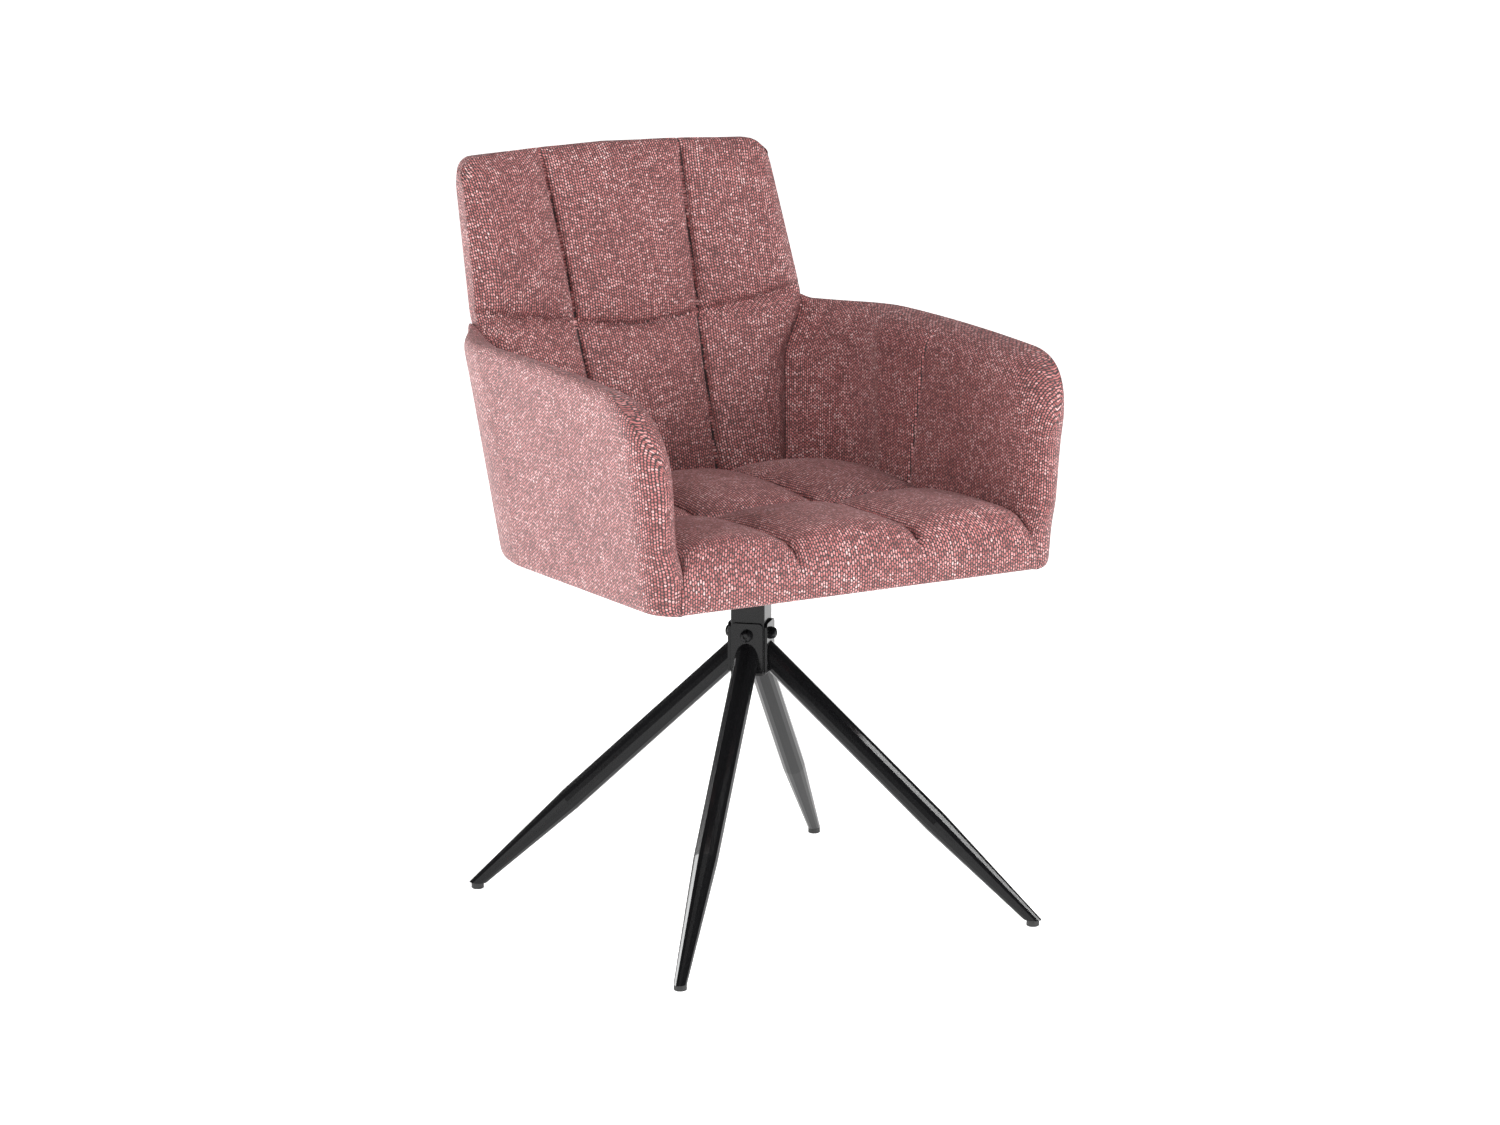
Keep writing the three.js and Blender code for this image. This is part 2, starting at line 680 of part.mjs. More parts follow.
// One row of quilted puffs is 0 on its seams and 1 in the middle of each puff.
function puff(value, seams) {
  let k = 0;
  while (k < seams.length - 2 && value > seams[k + 1]) k++;
  const t = THREE.MathUtils.clamp((value - seams[k]) / (seams[k + 1] - seams[k]), 0, 1);
  return 1 - Math.abs(2 * t - 1) ** 2.6;
}

function backPuff(x, z) {
  const edge = innerEdgeX(z);
  const columns = puff(x, [-edge, -SEAM_X, SEAM_X, edge]);
  const rows = puff(z, [455, SEAM_LEVEL + 22 * (x / edge) ** 2, BACK_TOP - 4]);
  return BACK_PUFF * Math.sqrt(Math.max(0, columns * rows));
}

// Slab inside the back. Depths are measured forward from the rear face. As in the
// arms, all layers share their inside rows and columns.
function backLayer(form) {
  const { bottom, depth = 0, stop = null, beyond = 0, edge = 0 } = form;
  const { lowEdge = edge, quilted = false } = form;
  const rounded = depth === 0;
  const half = [0, 0.19, 0.37, 0.56, 0.74, 0.9];
  half.push(...(rounded ? [0.975, 1] : [1]));
  const across = [...half.slice(1).reverse().map((value) => -value), ...half];
  const shares = [0.15, 0.3, 0.42, 0.5, 0.57, 0.66, 0.78, 0.9, 1];
  const falls = rounded ? [6, 2, 0] : [edge];
  const place = (j, c, inner) => {
    const top = backTop(c);
    let z = bottom;
    if (j > 0 && j <= shares.length) z = lerp(TUB_BOTTOM, top - 14, shares[j - 1]);
    if (j > shares.length) z = top - falls[j - shares.length - 1];
    const rearX = c * rearEdgeX(z);
    const frontX = c * innerEdgeX(z);
    const rear = rearY(rearX, z);
    const front = innerBackY(frontX, z);
    let share = inner ? 1 : 0;
    let y = inner ? front - beyond : rear - depth;
    if (rounded && !inner) {
      const sideFall = lerp(400, freeEdge(z) * (1 - Math.abs(c)), free(z));
      y -= Math.max(rounding(12, top - z), rounding(12, sideFall));
    }
    if (stop !== null && inner) y = rear - stop;
    if (stop !== null || !inner) share = (rear - y) / (rear - front);
    const x = lerp(rearX, frontX, share);
    if (quilted && inner) y -= backPuff(x, z);
    return [x, y, z];
  };
  // The side columns slide inwards along their facets by the edge margin.
  const face = (inner) => (j, i) => {
    const point = place(j, across[i], inner);
    if (i > 0 && i < across.length - 1) return point;
    const next = place(j, across[i === 0 ? 1 : i - 1], inner);
    const inset = lerp(lowEdge, edge, free(point[2]));
    const share = inset / Math.abs(next[0] - point[0]);
    return point.map((value, k) => lerp(value, next[k], share));
  };
  return slab(face(false), face(true), shares.length + falls.length, across.length - 1);
}

const backBoardDepth = BACK_COVER + LAYER_GAP;
const backPadDepth = backBoardDepth + BACK_BOARD + LAYER_GAP;
const backWhole = backLayer({ bottom: TUB_BOTTOM });
const backHollow = backLayer({
  depth: BACK_COVER,
  beyond: 40,
  bottom: TUB_BOTTOM - 8,
  edge: BACK_COVER,
  lowEdge: -6,
});
add('back_cover', cut(backWhole, backHollow), 'fabric');
const backBoard = backLayer({
  depth: backBoardDepth,
  stop: backBoardDepth + BACK_BOARD,
  bottom: SEAT_BOARD_BOTTOM,
  edge: BACK_COVER + LAYER_GAP,
});
const backDrills = BACK_SCREWS_X.map((x) => backScrewPlace(counterbore(), x));
add('back_board', cut(backBoard, ...backDrills), 'plywood');
add('back_pad', backLayer({
  depth: backPadDepth,
  bottom: SEAT_BOARD_TOP + GAP,
  edge: BACK_COVER + LAYER_GAP,
  quilted: true,
}), 'fabric');

// ---------------------------------------------------------------- seat

// Half width of the space between the arms' inner faces where it passes y.
function innerHalfWidth(y, z) {
  if (y <= cornerY(z)) return innerArmX(z);
  let near = 0;
  let far = 1;
  for (let k = 0; k < 24; k++) {
    const middle = (near + far) / 2;
    if (armWall(middle, 1, z)[1] > y) near = middle;
    else far = middle;
  }
  return armWall(far, 1, z)[0];
}

// Plan outline that keeps clear of the arms' and the back's outer faces by two insets.
function plateOutline(z, armInset, backInset, frontInset) {
  const right = [];
  for (const x of [0, 50, 100, 140]) right.push([x, rearY(x, z) - backInset]);
  for (let along = 0.06; along < 1.01; along += 0.134) {
    right.push(armWall(along, armInset / armThickness(along, z), z));
  }
  right.push([halfWidth(z) - armInset, TUB_FRONT + frontInset]);
  const left = right.slice(1).reverse().map(([x, y]) => [-x, y]);
  return new THREE.Shape([...right, ...left].map(([x, y]) => new THREE.Vector2(x, y)));
}

// Cushion: two rows of three puffs between the arms.
function seatPuff(x, y, edge, front, rear) {
  const columns = puff(x, [-edge, -SEAM_X, SEAM_X, edge]);
  const rows = puff(y, [front, SEAT_SEAM_Y, rear]);
  return SEAT_PUFF * Math.sqrt(Math.max(0, columns * rows));
}

function seatCushion() {
  const front = TUB_FRONT + BAND_THICK + GAP;
  const half = [0, 0.22, 0.36, 0.48, 0.7, 0.92, 1];
  const across = [...half.slice(1).reverse().map((value) => -value), ...half];
  const along = [0, 0.05, 0.2, 0.34, 0.44, 0.56, 0.7, 0.84, 0.95, 1];
  const face = (upper) => (i, j) => {
    const lowZ = SEAT_BOARD_TOP + GAP;
    const rear = innerBackY(0, lowZ) - SEAM_GAP;
    const y = lerp(front, rear, along[i]);
    const edge = innerHalfWidth(y, lowZ) - SEAM_GAP;
    const x = across[j] * edge;
    const bend = INNER_WRAP * x * x * along[i];
    if (!upper) return [x, y - bend, lowZ];
    const rim = along[i] === 0 || along[i] === 1 || Math.abs(across[j]) === 1;
    const level = rim ? SEAT_VALLEY - 12 : SEAT_VALLEY;
    return [x, y - bend, level + seatPuff(x, y, edge, front, rear)];
  };
  return slab(face(true), face(false), along.length - 1, across.length - 1);
}

function frontBand() {
  const half = innerArmX(TUB_BOTTOM) - SEAM_GAP;
  const outline = new THREE.Shape();
  const radius = 9;
  const bottom = TUB_BOTTOM + GAP;
  const top = SEAT_VALLEY - 6;
  outline.moveTo(TUB_FRONT + BAND_THICK, bottom);
  outline.lineTo(TUB_FRONT + BAND_THICK, top);
  outline.absarc(TUB_FRONT + radius, top - radius, radius, Math.PI / 2, Math.PI);
  outline.lineTo(TUB_FRONT, bottom);
  const strip = extruded(outline, -half, half, 5);
  return strip.rotateX(Math.PI / 2).rotateZ(Math.PI / 2);
}

function seatBoard() {
  const outline = plateOutline(SEAT_BOARD_BOTTOM, 30.5, 20, BAND_THICK + GAP);
  const board = extruded(outline, SEAT_BOARD_BOTTOM, SEAT_BOARD_TOP);
  const drills = [];
  for (const side of [-1, 1]) {
    for (const y of ARM_SCREWS_Y) drills.push(armScrewPlace(counterbore(), side, y));
  }
  for (const x of BACK_SCREWS_X) drills.push(backScrewPlace(counterbore(), x));
  return cut(board, ...holes(TEE_NUT_RADIUS + GAP, 400, 450), ...drills);
}

function dustCover() {
  const outline = plateOutline(TUB_BOTTOM, ARM_COVER + 2, BACK_COVER + 3, ARM_COVER + 2);
  const sheet = extruded(outline, TUB_BOTTOM + 0.5, TUB_BOTTOM + 1.3);
  return cut(sheet, ...holes(PLATE_BOLT_RADIUS + 2 * GAP, 400, 430));
}

add('seat_board', seatBoard(), 'plywood');
add('seat_cushion', seatCushion(), 'fabric');
add('front_band', frontBand(), 'fabric');
add('dust_cover', dustCover(), 'felt');

// ---------------------------------------------------------------- fasteners of the seat

// A screw built upright, with its head's underside at z = 0, is laid into the arm's wall.
function armScrewPlace(geometry, side, y) {
  const headX = halfWidth(SCREW_Z) - ARM_COVER - LAYER_GAP - SCREW_SINK;
  geometry.rotateY(side * Math.PI / 2);
  return geometry.translate(side * headX, y, SCREW_Z);
}

function backScrewPlace(geometry, x) {
  const headY = rearY(x, SCREW_Z) - BACK_COVER - LAYER_GAP - SCREW_SINK;
  return geometry.rotateX(-Math.PI / 2).translate(x, headY, SCREW_Z);
}

// Hole for a wood screw, with room for its head.
function counterbore() {
  return turned([
    [0, -42],
    [2 + GAP, -42],
    [2 + GAP, -GAP],
    [4.2, -GAP],
    [4.2, 20],
    [0, 20],
  ], 8);
}

function woodScrew() {
  const length = 34;
  return turned([
    [0, -length],
    [2, 5 - length],
    [2, 0],
    [3.6, 0],
    [3, 0.9],
    [0, 0.9],
  ], 8);
}

for (const [side, name] of [[1, 'right'], [-1, 'left']]) {
  add(`arm_screw_${name}_front`, armScrewPlace(woodScrew(), side, ARM_SCREWS_Y[0]), 'zinc');
  add(`arm_screw_${name}_rear`, armScrewPlace(woodScrew(), side, ARM_SCREWS_Y[1]), 'zinc');
  add(`back_screw_${name}`, backScrewPlace(woodScrew(), BACK_SCREWS_X[(side + 1) / 2]), 'zinc');
}

function teeNut() {
  const top = SEAT_BOARD_TOP;
  return ring(PLATE_BOLT_RADIUS + GAP, TEE_NUT_RADIUS, top - 9, top + GAP, 8);
}

plateCorners().forEach(([x, y]) => {
  const name = ['rear', 'front'][y > 0 ? 0 : 1] + ['_left', '_right'][x > 0 ? 1 : 0];
  const bolt = socketBolt(20, 6, 3.4, PLATE_BOLT_RADIUS, 8).rotateX(Math.PI);
  add(`plate_bolt_${name}`, bolt.translate(x, y, PLATE_TOP - PLATE_THICK - GAP), 'zinc');
  add(`tee_nut_${name}`, teeNut().translate(x, y, 0), 'zinc');
});

export default group;
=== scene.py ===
import json
import math

import bmesh
import bpy
import numpy as np
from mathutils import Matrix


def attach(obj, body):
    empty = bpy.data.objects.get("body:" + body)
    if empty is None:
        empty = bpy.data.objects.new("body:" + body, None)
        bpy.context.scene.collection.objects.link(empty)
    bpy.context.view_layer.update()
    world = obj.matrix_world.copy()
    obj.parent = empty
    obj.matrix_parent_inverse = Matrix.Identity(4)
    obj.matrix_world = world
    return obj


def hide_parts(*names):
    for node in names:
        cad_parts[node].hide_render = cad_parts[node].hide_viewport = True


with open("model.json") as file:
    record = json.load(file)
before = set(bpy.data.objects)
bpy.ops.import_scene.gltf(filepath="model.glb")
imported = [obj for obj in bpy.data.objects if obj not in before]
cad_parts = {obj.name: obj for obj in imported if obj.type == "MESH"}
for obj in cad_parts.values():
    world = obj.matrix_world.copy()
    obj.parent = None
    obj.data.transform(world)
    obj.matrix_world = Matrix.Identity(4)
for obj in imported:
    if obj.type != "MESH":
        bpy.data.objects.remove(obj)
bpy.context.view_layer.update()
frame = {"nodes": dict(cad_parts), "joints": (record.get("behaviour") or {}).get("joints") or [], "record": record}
AXIS_Y = frame["joints"][0]["pos_m"][1] * 1000  # mm, the swivel axis in the row frame

# Shapes are worked out in millimetres about the swivel axis, as the CAD's tub is.
TUB_BOTTOM = 419
TUB_FRONT = -237
BOTTOM_HALF_WIDTH = 264
SIDE_LEAN = 0.11
BOARD_TOP = 436.6

# the rear corners and the rear face
CORNER_RADIUS = 172
CORNER_Y = 69  # centre of the corner's arc at the bottom edge
CORNER_LEAN = 0.15
SEAM_ANGLE = math.radians(57.5)  # where the arm meets the back on the corner's arc
REAR_Y = 255
REAR_LEAN = 0.169
BACK_LEAN_GAIN = 0.121  # the rear face leans this much more above the arms
ARM_LEVEL = 656
ARM_BLEND = 20  # height over which the lean changes at the arms' level
REAR_WRAP = 5.95e-4  # the rear face curves forward by this times x squared
REAR_WRAP_LOSS = 1.18e-6  # the curve flattens by this per millimetre above the arms
WRAPPED_BELOW = 600  # the arms wrap the back fully up to this height
FREE_ABOVE = 684  # and the back stands free of them from this one
FREE_HALF_WIDTH = 223  # the free back's half width at its lower end
FREE_TAPER = 0.0755
BACK_TOP = 864
BACK_TOP_DROP = 6  # the back's top edge is this much lower at its corners
BACK_CORNER = 24  # radius of the back's top corners, seen from the front

# the inner faces
INNER_BACK_Y = 261
INNER_BACK_LEAN = 0.327
SEAM_LEVEL = 661
INNER_WRAP = 4e-4  # the inner back curves forward by this times x squared
INNER_ARM_X = 228  # inner face of the arm at z = 480
INNER_ARM_LEAN = 0.07
SEAT_HALF_WIDTH = 167  # half width of the inner back at z = 480
SEAT_HALF_LEAN = 0.175

# the arm's crest, which falls to the front corner
ARM_CREST = 669
ARM_CREST_Y = 110
ARM_CREST_SAG = 1.35e-4
FRONT_RADIUS = 80  # the arm's top front corner, seen from the side
CREST_START = CORNER_Y + CORNER_LEAN * (ARM_CREST - TUB_BOTTOM)  # y where its straight side starts


# ---------------------------------------------------------------- the tub's faces

def smooth(value, low, high):
    """0 below low and 1 above high, with a smooth rise between."""
    t = np.clip((value - low) / (high - low), 0, 1)
    return t * t * (3 - 2 * t)


def lerp(a, b, t):
    return a + (b - a) * t


def half_width(z):
    return BOTTOM_HALF_WIDTH + SIDE_LEAN * (z - TUB_BOTTOM)


def corner_x(z):
    return half_width(z) - CORNER_RADIUS


def corner_y(z):
    return CORNER_Y + CORNER_LEAN * (z - TUB_BOTTOM)


def inner_arm_x(z):
    return INNER_ARM_X + INNER_ARM_LEAN * (z - 480)


def free(z):
    """0 where the arms wrap the back, 1 where the back stands free above them."""
    return smooth(z, WRAPPED_BELOW, FREE_ABOVE)


def rear_middle(z):
    s = z - ARM_LEVEL
    above = (s + np.hypot(s, ARM_BLEND)) / 2
    return REAR_Y + REAR_LEAN * (z - TUB_BOTTOM) + BACK_LEAN_GAIN * above


def rear_y(x, z):
    """Rear face of the back at a distance x from the middle."""
    droop = REAR_WRAP - REAR_WRAP_LOSS * np.maximum(0, z - 650)
    sheet = rear_middle(z) - droop * x * x
    past = np.clip(np.abs(x) - corner_x(z), 0, CORNER_RADIUS)
    arc = corner_y(z) + np.sqrt(CORNER_RADIUS ** 2 - past ** 2)
    return lerp(np.minimum(sheet, arc), sheet, free(z))


def inner_back_y(x, z):
    """Inner face of the back, without its quilting."""
    return INNER_BACK_Y + INNER_BACK_LEAN * (z - SEAM_LEVEL) - INNER_WRAP * x * x


def free_edge(z):
    return FREE_HALF_WIDTH - FREE_TAPER * (z - 681)


def rear_edge_x(z):
    """Half width of the back at its rear edge."""
    return lerp(corner_x(z) + CORNER_RADIUS * math.cos(SEAM_ANGLE), free_edge(z), free(z))


def inner_edge_x(z):
    """Half width of the back at its inner edge."""
    return lerp(SEAT_HALF_WIDTH + SEAT_HALF_LEAN * (z - 480), free_edge(z), free(z))


def middle_edge_x(z):
    """Half width of the back halfway through its thickness."""
    return lerp(rear_edge_x(z), inner_edge_x(z), 0.5)


def arm_wall(along, share, z):
    """Point of the arm's wall. Along is 0 at the corner seam, 1 where the straight
    side starts and 2 at the front; share is 0 on the outer face and 1 on the inner."""
    cx, cy = corner_x(z), corner_y(z)
    thick = half_width(z) - inner_arm_x(z)
    rear_x, front_x = rear_edge_x(z), inner_edge_x(z)
    end_x = lerp(rear_x, front_x, share)
    end_y = lerp(rear_y(rear_x, z), inner_back_y(front_x, z), share)
    end_radius = np.hypot(end_x - cx, end_y - cy)
    end_angle = np.arctan2(end_y - cy, end_x - cx)
    near = np.minimum(along, 1)
    part = np.minimum(1, (1 - near) ** 4)  # the wall takes the seam's radius only close to it
    radius = lerp(CORNER_RADIUS - share * thick, end_radius, part)
    angle = end_angle * (1 - near)
    x = cx + radius * np.cos(angle)
    y = cy + radius * np.sin(angle)
    straight = along > 1
    x = np.where(straight, half_width(z) - share * thick, x)
    y = np.where(straight, lerp(cy, TUB_FRONT, along - 1), y)
    return x, y


def arm_thickness(along, z):
    ox, oy = arm_wall(along, 0.0, z)
    ix, iy = arm_wall(along, 1.0, z)
    return np.hypot(ox - ix, oy - iy)


def fall(radius, distance):
    """How far a circular edge has fallen away at a distance from its end."""
    t = np.clip(1 - distance / radius, 0, 1)
    return radius * (1 - np.sqrt(1 - t * t))


def rim_length(width, radius, distance):
    """Extra length of cloth over a rounded rim, against its distance seen square on."""
    steps = np.linspace(0, 1, 60)
    fallen = width * (1 - np.sqrt(1 - (1 - steps) ** 2))
    pieces = np.hypot(np.diff(fallen), np.diff(steps * radius))
    length = np.concatenate([[0], np.cumsum(pieces)])
    return np.interp(distance / radius, steps, length - steps * radius)


def arc_length(grid, axis):
    """Length along the grid's lines from their first point."""
    steps = np.linalg.norm(np.diff(grid, axis=axis), axis=-1)
    return np.insert(np.cumsum(steps, axis=axis), 0, 0, axis=axis)


def arm_crest(y):
    level = ARM_CREST - ARM_CREST_SAG * (y - ARM_CREST_Y) ** 2
    return level - fall(FRONT_RADIUS, y - TUB_FRONT)


def back_top(x):
    edge = free_edge(BACK_TOP)
    return BACK_TOP - BACK_TOP_DROP * np.minimum(1, np.abs(x) / edge) ** 2


# ---------------------------------------------------------------- mesh helpers

GROWTH = 1.6  # a grid's steps grow by this away from a mark
WELD = 0.02  # points closer than this, in millimetres, are one


def graded(marks, cell, fine):
    """Coordinates that are fine steps apart at every mark and up to a cell apart between."""
    out = [marks[0]]
    for a, b in zip(marks, marks[1:]):
        half = (b - a) / 2
        steps, at, step = [], 0.0, fine
        while at + step < half:
            at += step
            steps.append(at)
            step = min(cell, step * GROWTH)
        if steps and half - steps[-1] < 0.35 * step and len(steps) > 1:
            steps.pop()
        left = [a + s for s in steps]
        right = [b - s for s in reversed(steps)]
        closed = steps and right[0] - left[-1] <= 1.3 * cell
        middle = [] if closed else [(a + b) / 2]
        out += left + middle + right + [b]
    return np.array(out)


def edge_distance(points, line):
    """Distance of 2-D points to a polyline, both as arrays with a last axis of two."""
    best = np.full(points.shape[:-1], 1e9)
    for a, b in zip(line, line[1:]):
        d = b - a
        size = d @ d
        if size < 1e-12:
            continue
        t = np.clip(((points - a) @ d) / size, 0, 1)
        gap = points - (a + t[..., None] * d)
        best = np.minimum(best, np.hypot(gap[..., 0], gap[..., 1]))
    return best


def slab_mesh(name, outer, inner, outer_cloth, inner_cloth):
    """Closed mesh from two grids of points in millimetres about the axis. Their edges are
    joined, and welded where they meet. The cloth grids give each point's place on the cloth."""
    rows, columns = outer.shape[:2]
    count = rows * columns
    points = np.concatenate([outer.reshape(-1, 3), inner.reshape(-1, 3)])
    cloth = np.concatenate([outer_cloth.reshape(-1, 2), inner_cloth.reshape(-1, 2)])
    at = np.arange(count).reshape(rows, columns)
    quads = []

    def strip(a, b, c, d):
        quads.append(np.stack([a, b, c, d], -1).reshape(-1, 4))

    strip(at[:-1, :-1], at[1:, :-1], at[1:, 1:], at[:-1, 1:])
    low = at + count
    strip(low[:-1, :-1], low[:-1, 1:], low[1:, 1:], low[1:, :-1])
    for line in (at[0], at[-1], at[:, 0], at[:, -1]):
        strip(line[:-1], line[1:], line[1:] + count, line[:-1] + count)
    points = points + [0, AXIS_Y, 0]
    mesh = bpy.data.meshes.new(name)
    mesh.from_pydata((points / 1000).tolist(), [], np.concatenate(quads).tolist())
    layer = mesh.attributes.new("cloth", "FLOAT_VECTOR", "POINT")
    values = np.zeros((len(points), 3), np.float32)
    values[:, :2] = cloth / 1000
    layer.data.foreach_set("vector", values.ravel())
    form = bmesh.new()
    form.from_mesh(mesh)
    bmesh.ops.remove_doubles(form, verts=form.verts, dist=WELD / 1000)
    bmesh.ops.dissolve_degenerate(form, edges=form.edges, dist=1e-6)
    bmesh.ops.recalc_face_normals(form, faces=form.faces)
    form.to_mesh(mesh)
    form.free()
    mesh.polygons.foreach_set("use_smooth", [True] * len(mesh.polygons))
    piece = bpy.data.objects.new(name, mesh)
    bpy.context.scene.collection.objects.link(piece)
    return piece


def get_points(piece):
    points = np.zeros(len(piece.data.vertices) * 3)
    piece.data.vertices.foreach_get("co", points)
    return points.reshape(-1, 3)


def set_points(piece, points):
    piece.data.vertices.foreach_set("co", points.ravel())
    piece.data.update()


def get_cloth(piece):
    values = np.zeros(len(piece.data.vertices) * 3)
    piece.data.attributes["cloth"].data.foreach_get("vector", values)
    return values.reshape(-1, 3)[:, :2] * 1000


PRESSURE = 4.0  # of the air that swells the cloth
MOVE_CAP = 7.0  # no point moves further than this, in millimetres
LAST_FRAME = 20


def simulate(piece, loose):
    """Swells the cloth under pressure. Loose is 0 at a held point and 1 at a free one."""
    scene = bpy.context.scene
    start = get_points(piece)
    group = piece.vertex_groups.new(name="held")
    for k, value in enumerate(1 - loose):
        group.add([k], float(value), "REPLACE")
    cloth = piece.modifiers.new("cloth", "CLOTH")
    settings = cloth.settings
    settings.quality = 5
    settings.mass = 0.3
    settings.tension_stiffness = 15
    settings.compression_stiffness = 5
    settings.shear_stiffness = 5
    settings.bending_stiffness = 0.3
    settings.use_pressure = True
    settings.uniform_pressure_force = PRESSURE
    settings.vertex_group_mass = "held"
    settings.effector_weights.gravity = 0
    cloth.collision_settings.use_collision = False
    cloth.point_cache.frame_start = 1
    cloth.point_cache.frame_end = LAST_FRAME
    for number in range(1, LAST_FRAME + 1):
        scene.frame_set(number)
    seen = piece.evaluated_get(bpy.context.evaluated_depsgraph_get())
    end = np.zeros(len(start) * 3)
    seen.data.vertices.foreach_get("co", end)
    end = end.reshape(-1, 3)
    piece.modifiers.remove(cloth)
    piece.vertex_groups.remove(group)
    scene.frame_set(1)
    move = end - start
    size = np.linalg.norm(move, axis=1) * 1000
    print(piece.name, "cloth moved up to", round(float(size.max()), 2), "mm, mean",
          round(float(size.mean()), 2))
    share = np.minimum(1, MOVE_CAP / np.maximum(size, 1e-6))
    set_points(piece, start + move * share[:, None])


def press_in(piece, points, depth):
    """Moves the points in along their normals by the depths, all in millimetres."""
    normals = np.zeros(len(points) * 3)
    piece.data.vertices.foreach_get("normal", normals)
    set_points(piece, (points - depth[:, None] * normals.reshape(-1, 3)) / 1000)


def subdivide(piece):
    step = piece.modifiers.new("fine", "SUBSURF")
    step.levels = step.render_levels = 1
    seen = piece.evaluated_get(bpy.context.evaluated_depsgraph_get())
    mesh = bpy.data.meshes.new_from_object(seen)
    piece.modifiers.remove(step)
    piece.data = mesh
    mesh.polygons.foreach_set("use_smooth", [True] * len(mesh.polygons))


# ---------------------------------------------------------------- materials

def material(name):
    """New material, with its node tree and its shader."""
    made = bpy.data.materials.new(name)
    made.use_nodes = True
    return made, made.node_tree, made.node_tree.nodes["Principled BSDF"]


def node(tree, kind, **values):
    made = tree.nodes.new(kind)
    for key, value in values.items():
        setattr(made, key, value)
    return made


def vector_maths(tree, operation, a, b, c=None):
    """The second input is a constant, and the others are linked."""
    made = node(tree, "ShaderNodeVectorMath", operation=operation)
    tree.links.new(a, made.inputs[0])
    made.inputs[1].default_value = b
    if c is not None:
        tree.links.new(c, made.inputs[2])
    return made.outputs[0]


def relief(tree, shader, height, strength, size):
    """Bump from a height, whose whole range stands for a size in metres."""
    bump = tree.nodes.new("ShaderNodeBump")
    bump.inputs["Strength"].default_value = strength
    bump.inputs["Distance"].default_value = size
    tree.links.new(height, bump.inputs["Height"])
    tree.links.new(bump.outputs[0], shader.inputs["Normal"])


def maths(tree, operation, a, b=None, c=None):
    """Each input is a number or a linked value."""
    made = node(tree, "ShaderNodeMath", operation=operation)
    for k, value in enumerate((a, b, c)):
        if value is None:
            continue
        if isinstance(value, (int, float)):
            made.inputs[k].default_value = value
        else:
            tree.links.new(value, made.inputs[k])
    return made.outputs[0]


def ramp(tree, value, stops):
    """Colour of a value between stops, each a position and a colour."""
    made = tree.nodes.new("ShaderNodeValToRGB")
    elements = made.color_ramp.elements
    while len(elements) < len(stops):
        elements.new(0.5)
    for element, (position, colour) in zip(elements, stops):
        element.position = position
        element.color = (*colour, 1)
    tree.links.new(value, made.inputs[0])
    return made.outputs[0]


def mix(tree, share, plain, linked):
    """The plain colour where the share is 0, and the linked one where it is 1."""
    made = node(tree, "ShaderNodeMix", data_type="RGBA")
    made.inputs[6].default_value = (*plain, 1)
    tree.links.new(share, made.inputs[0])
    tree.links.new(linked, made.inputs[7])
    return made.outputs[2]


STITCH_WIDE = 0.0032  # m
STITCH_LONG = 0.0038
WANDER = 0.0016  # how far the yarn strays from a straight line
GAP_COLOUR = (0.020, 0.005, 0.006)
YARN_COLOURS = [  # from the darkest yarn to the palest
    (0.34, (0.20, 0.038, 0.037)),
    (0.56, (0.46, 0.124, 0.119)),
    (0.70, (0.64, 0.250, 0.244)),
    (0.88, (0.96, 0.610, 0.595)),
]


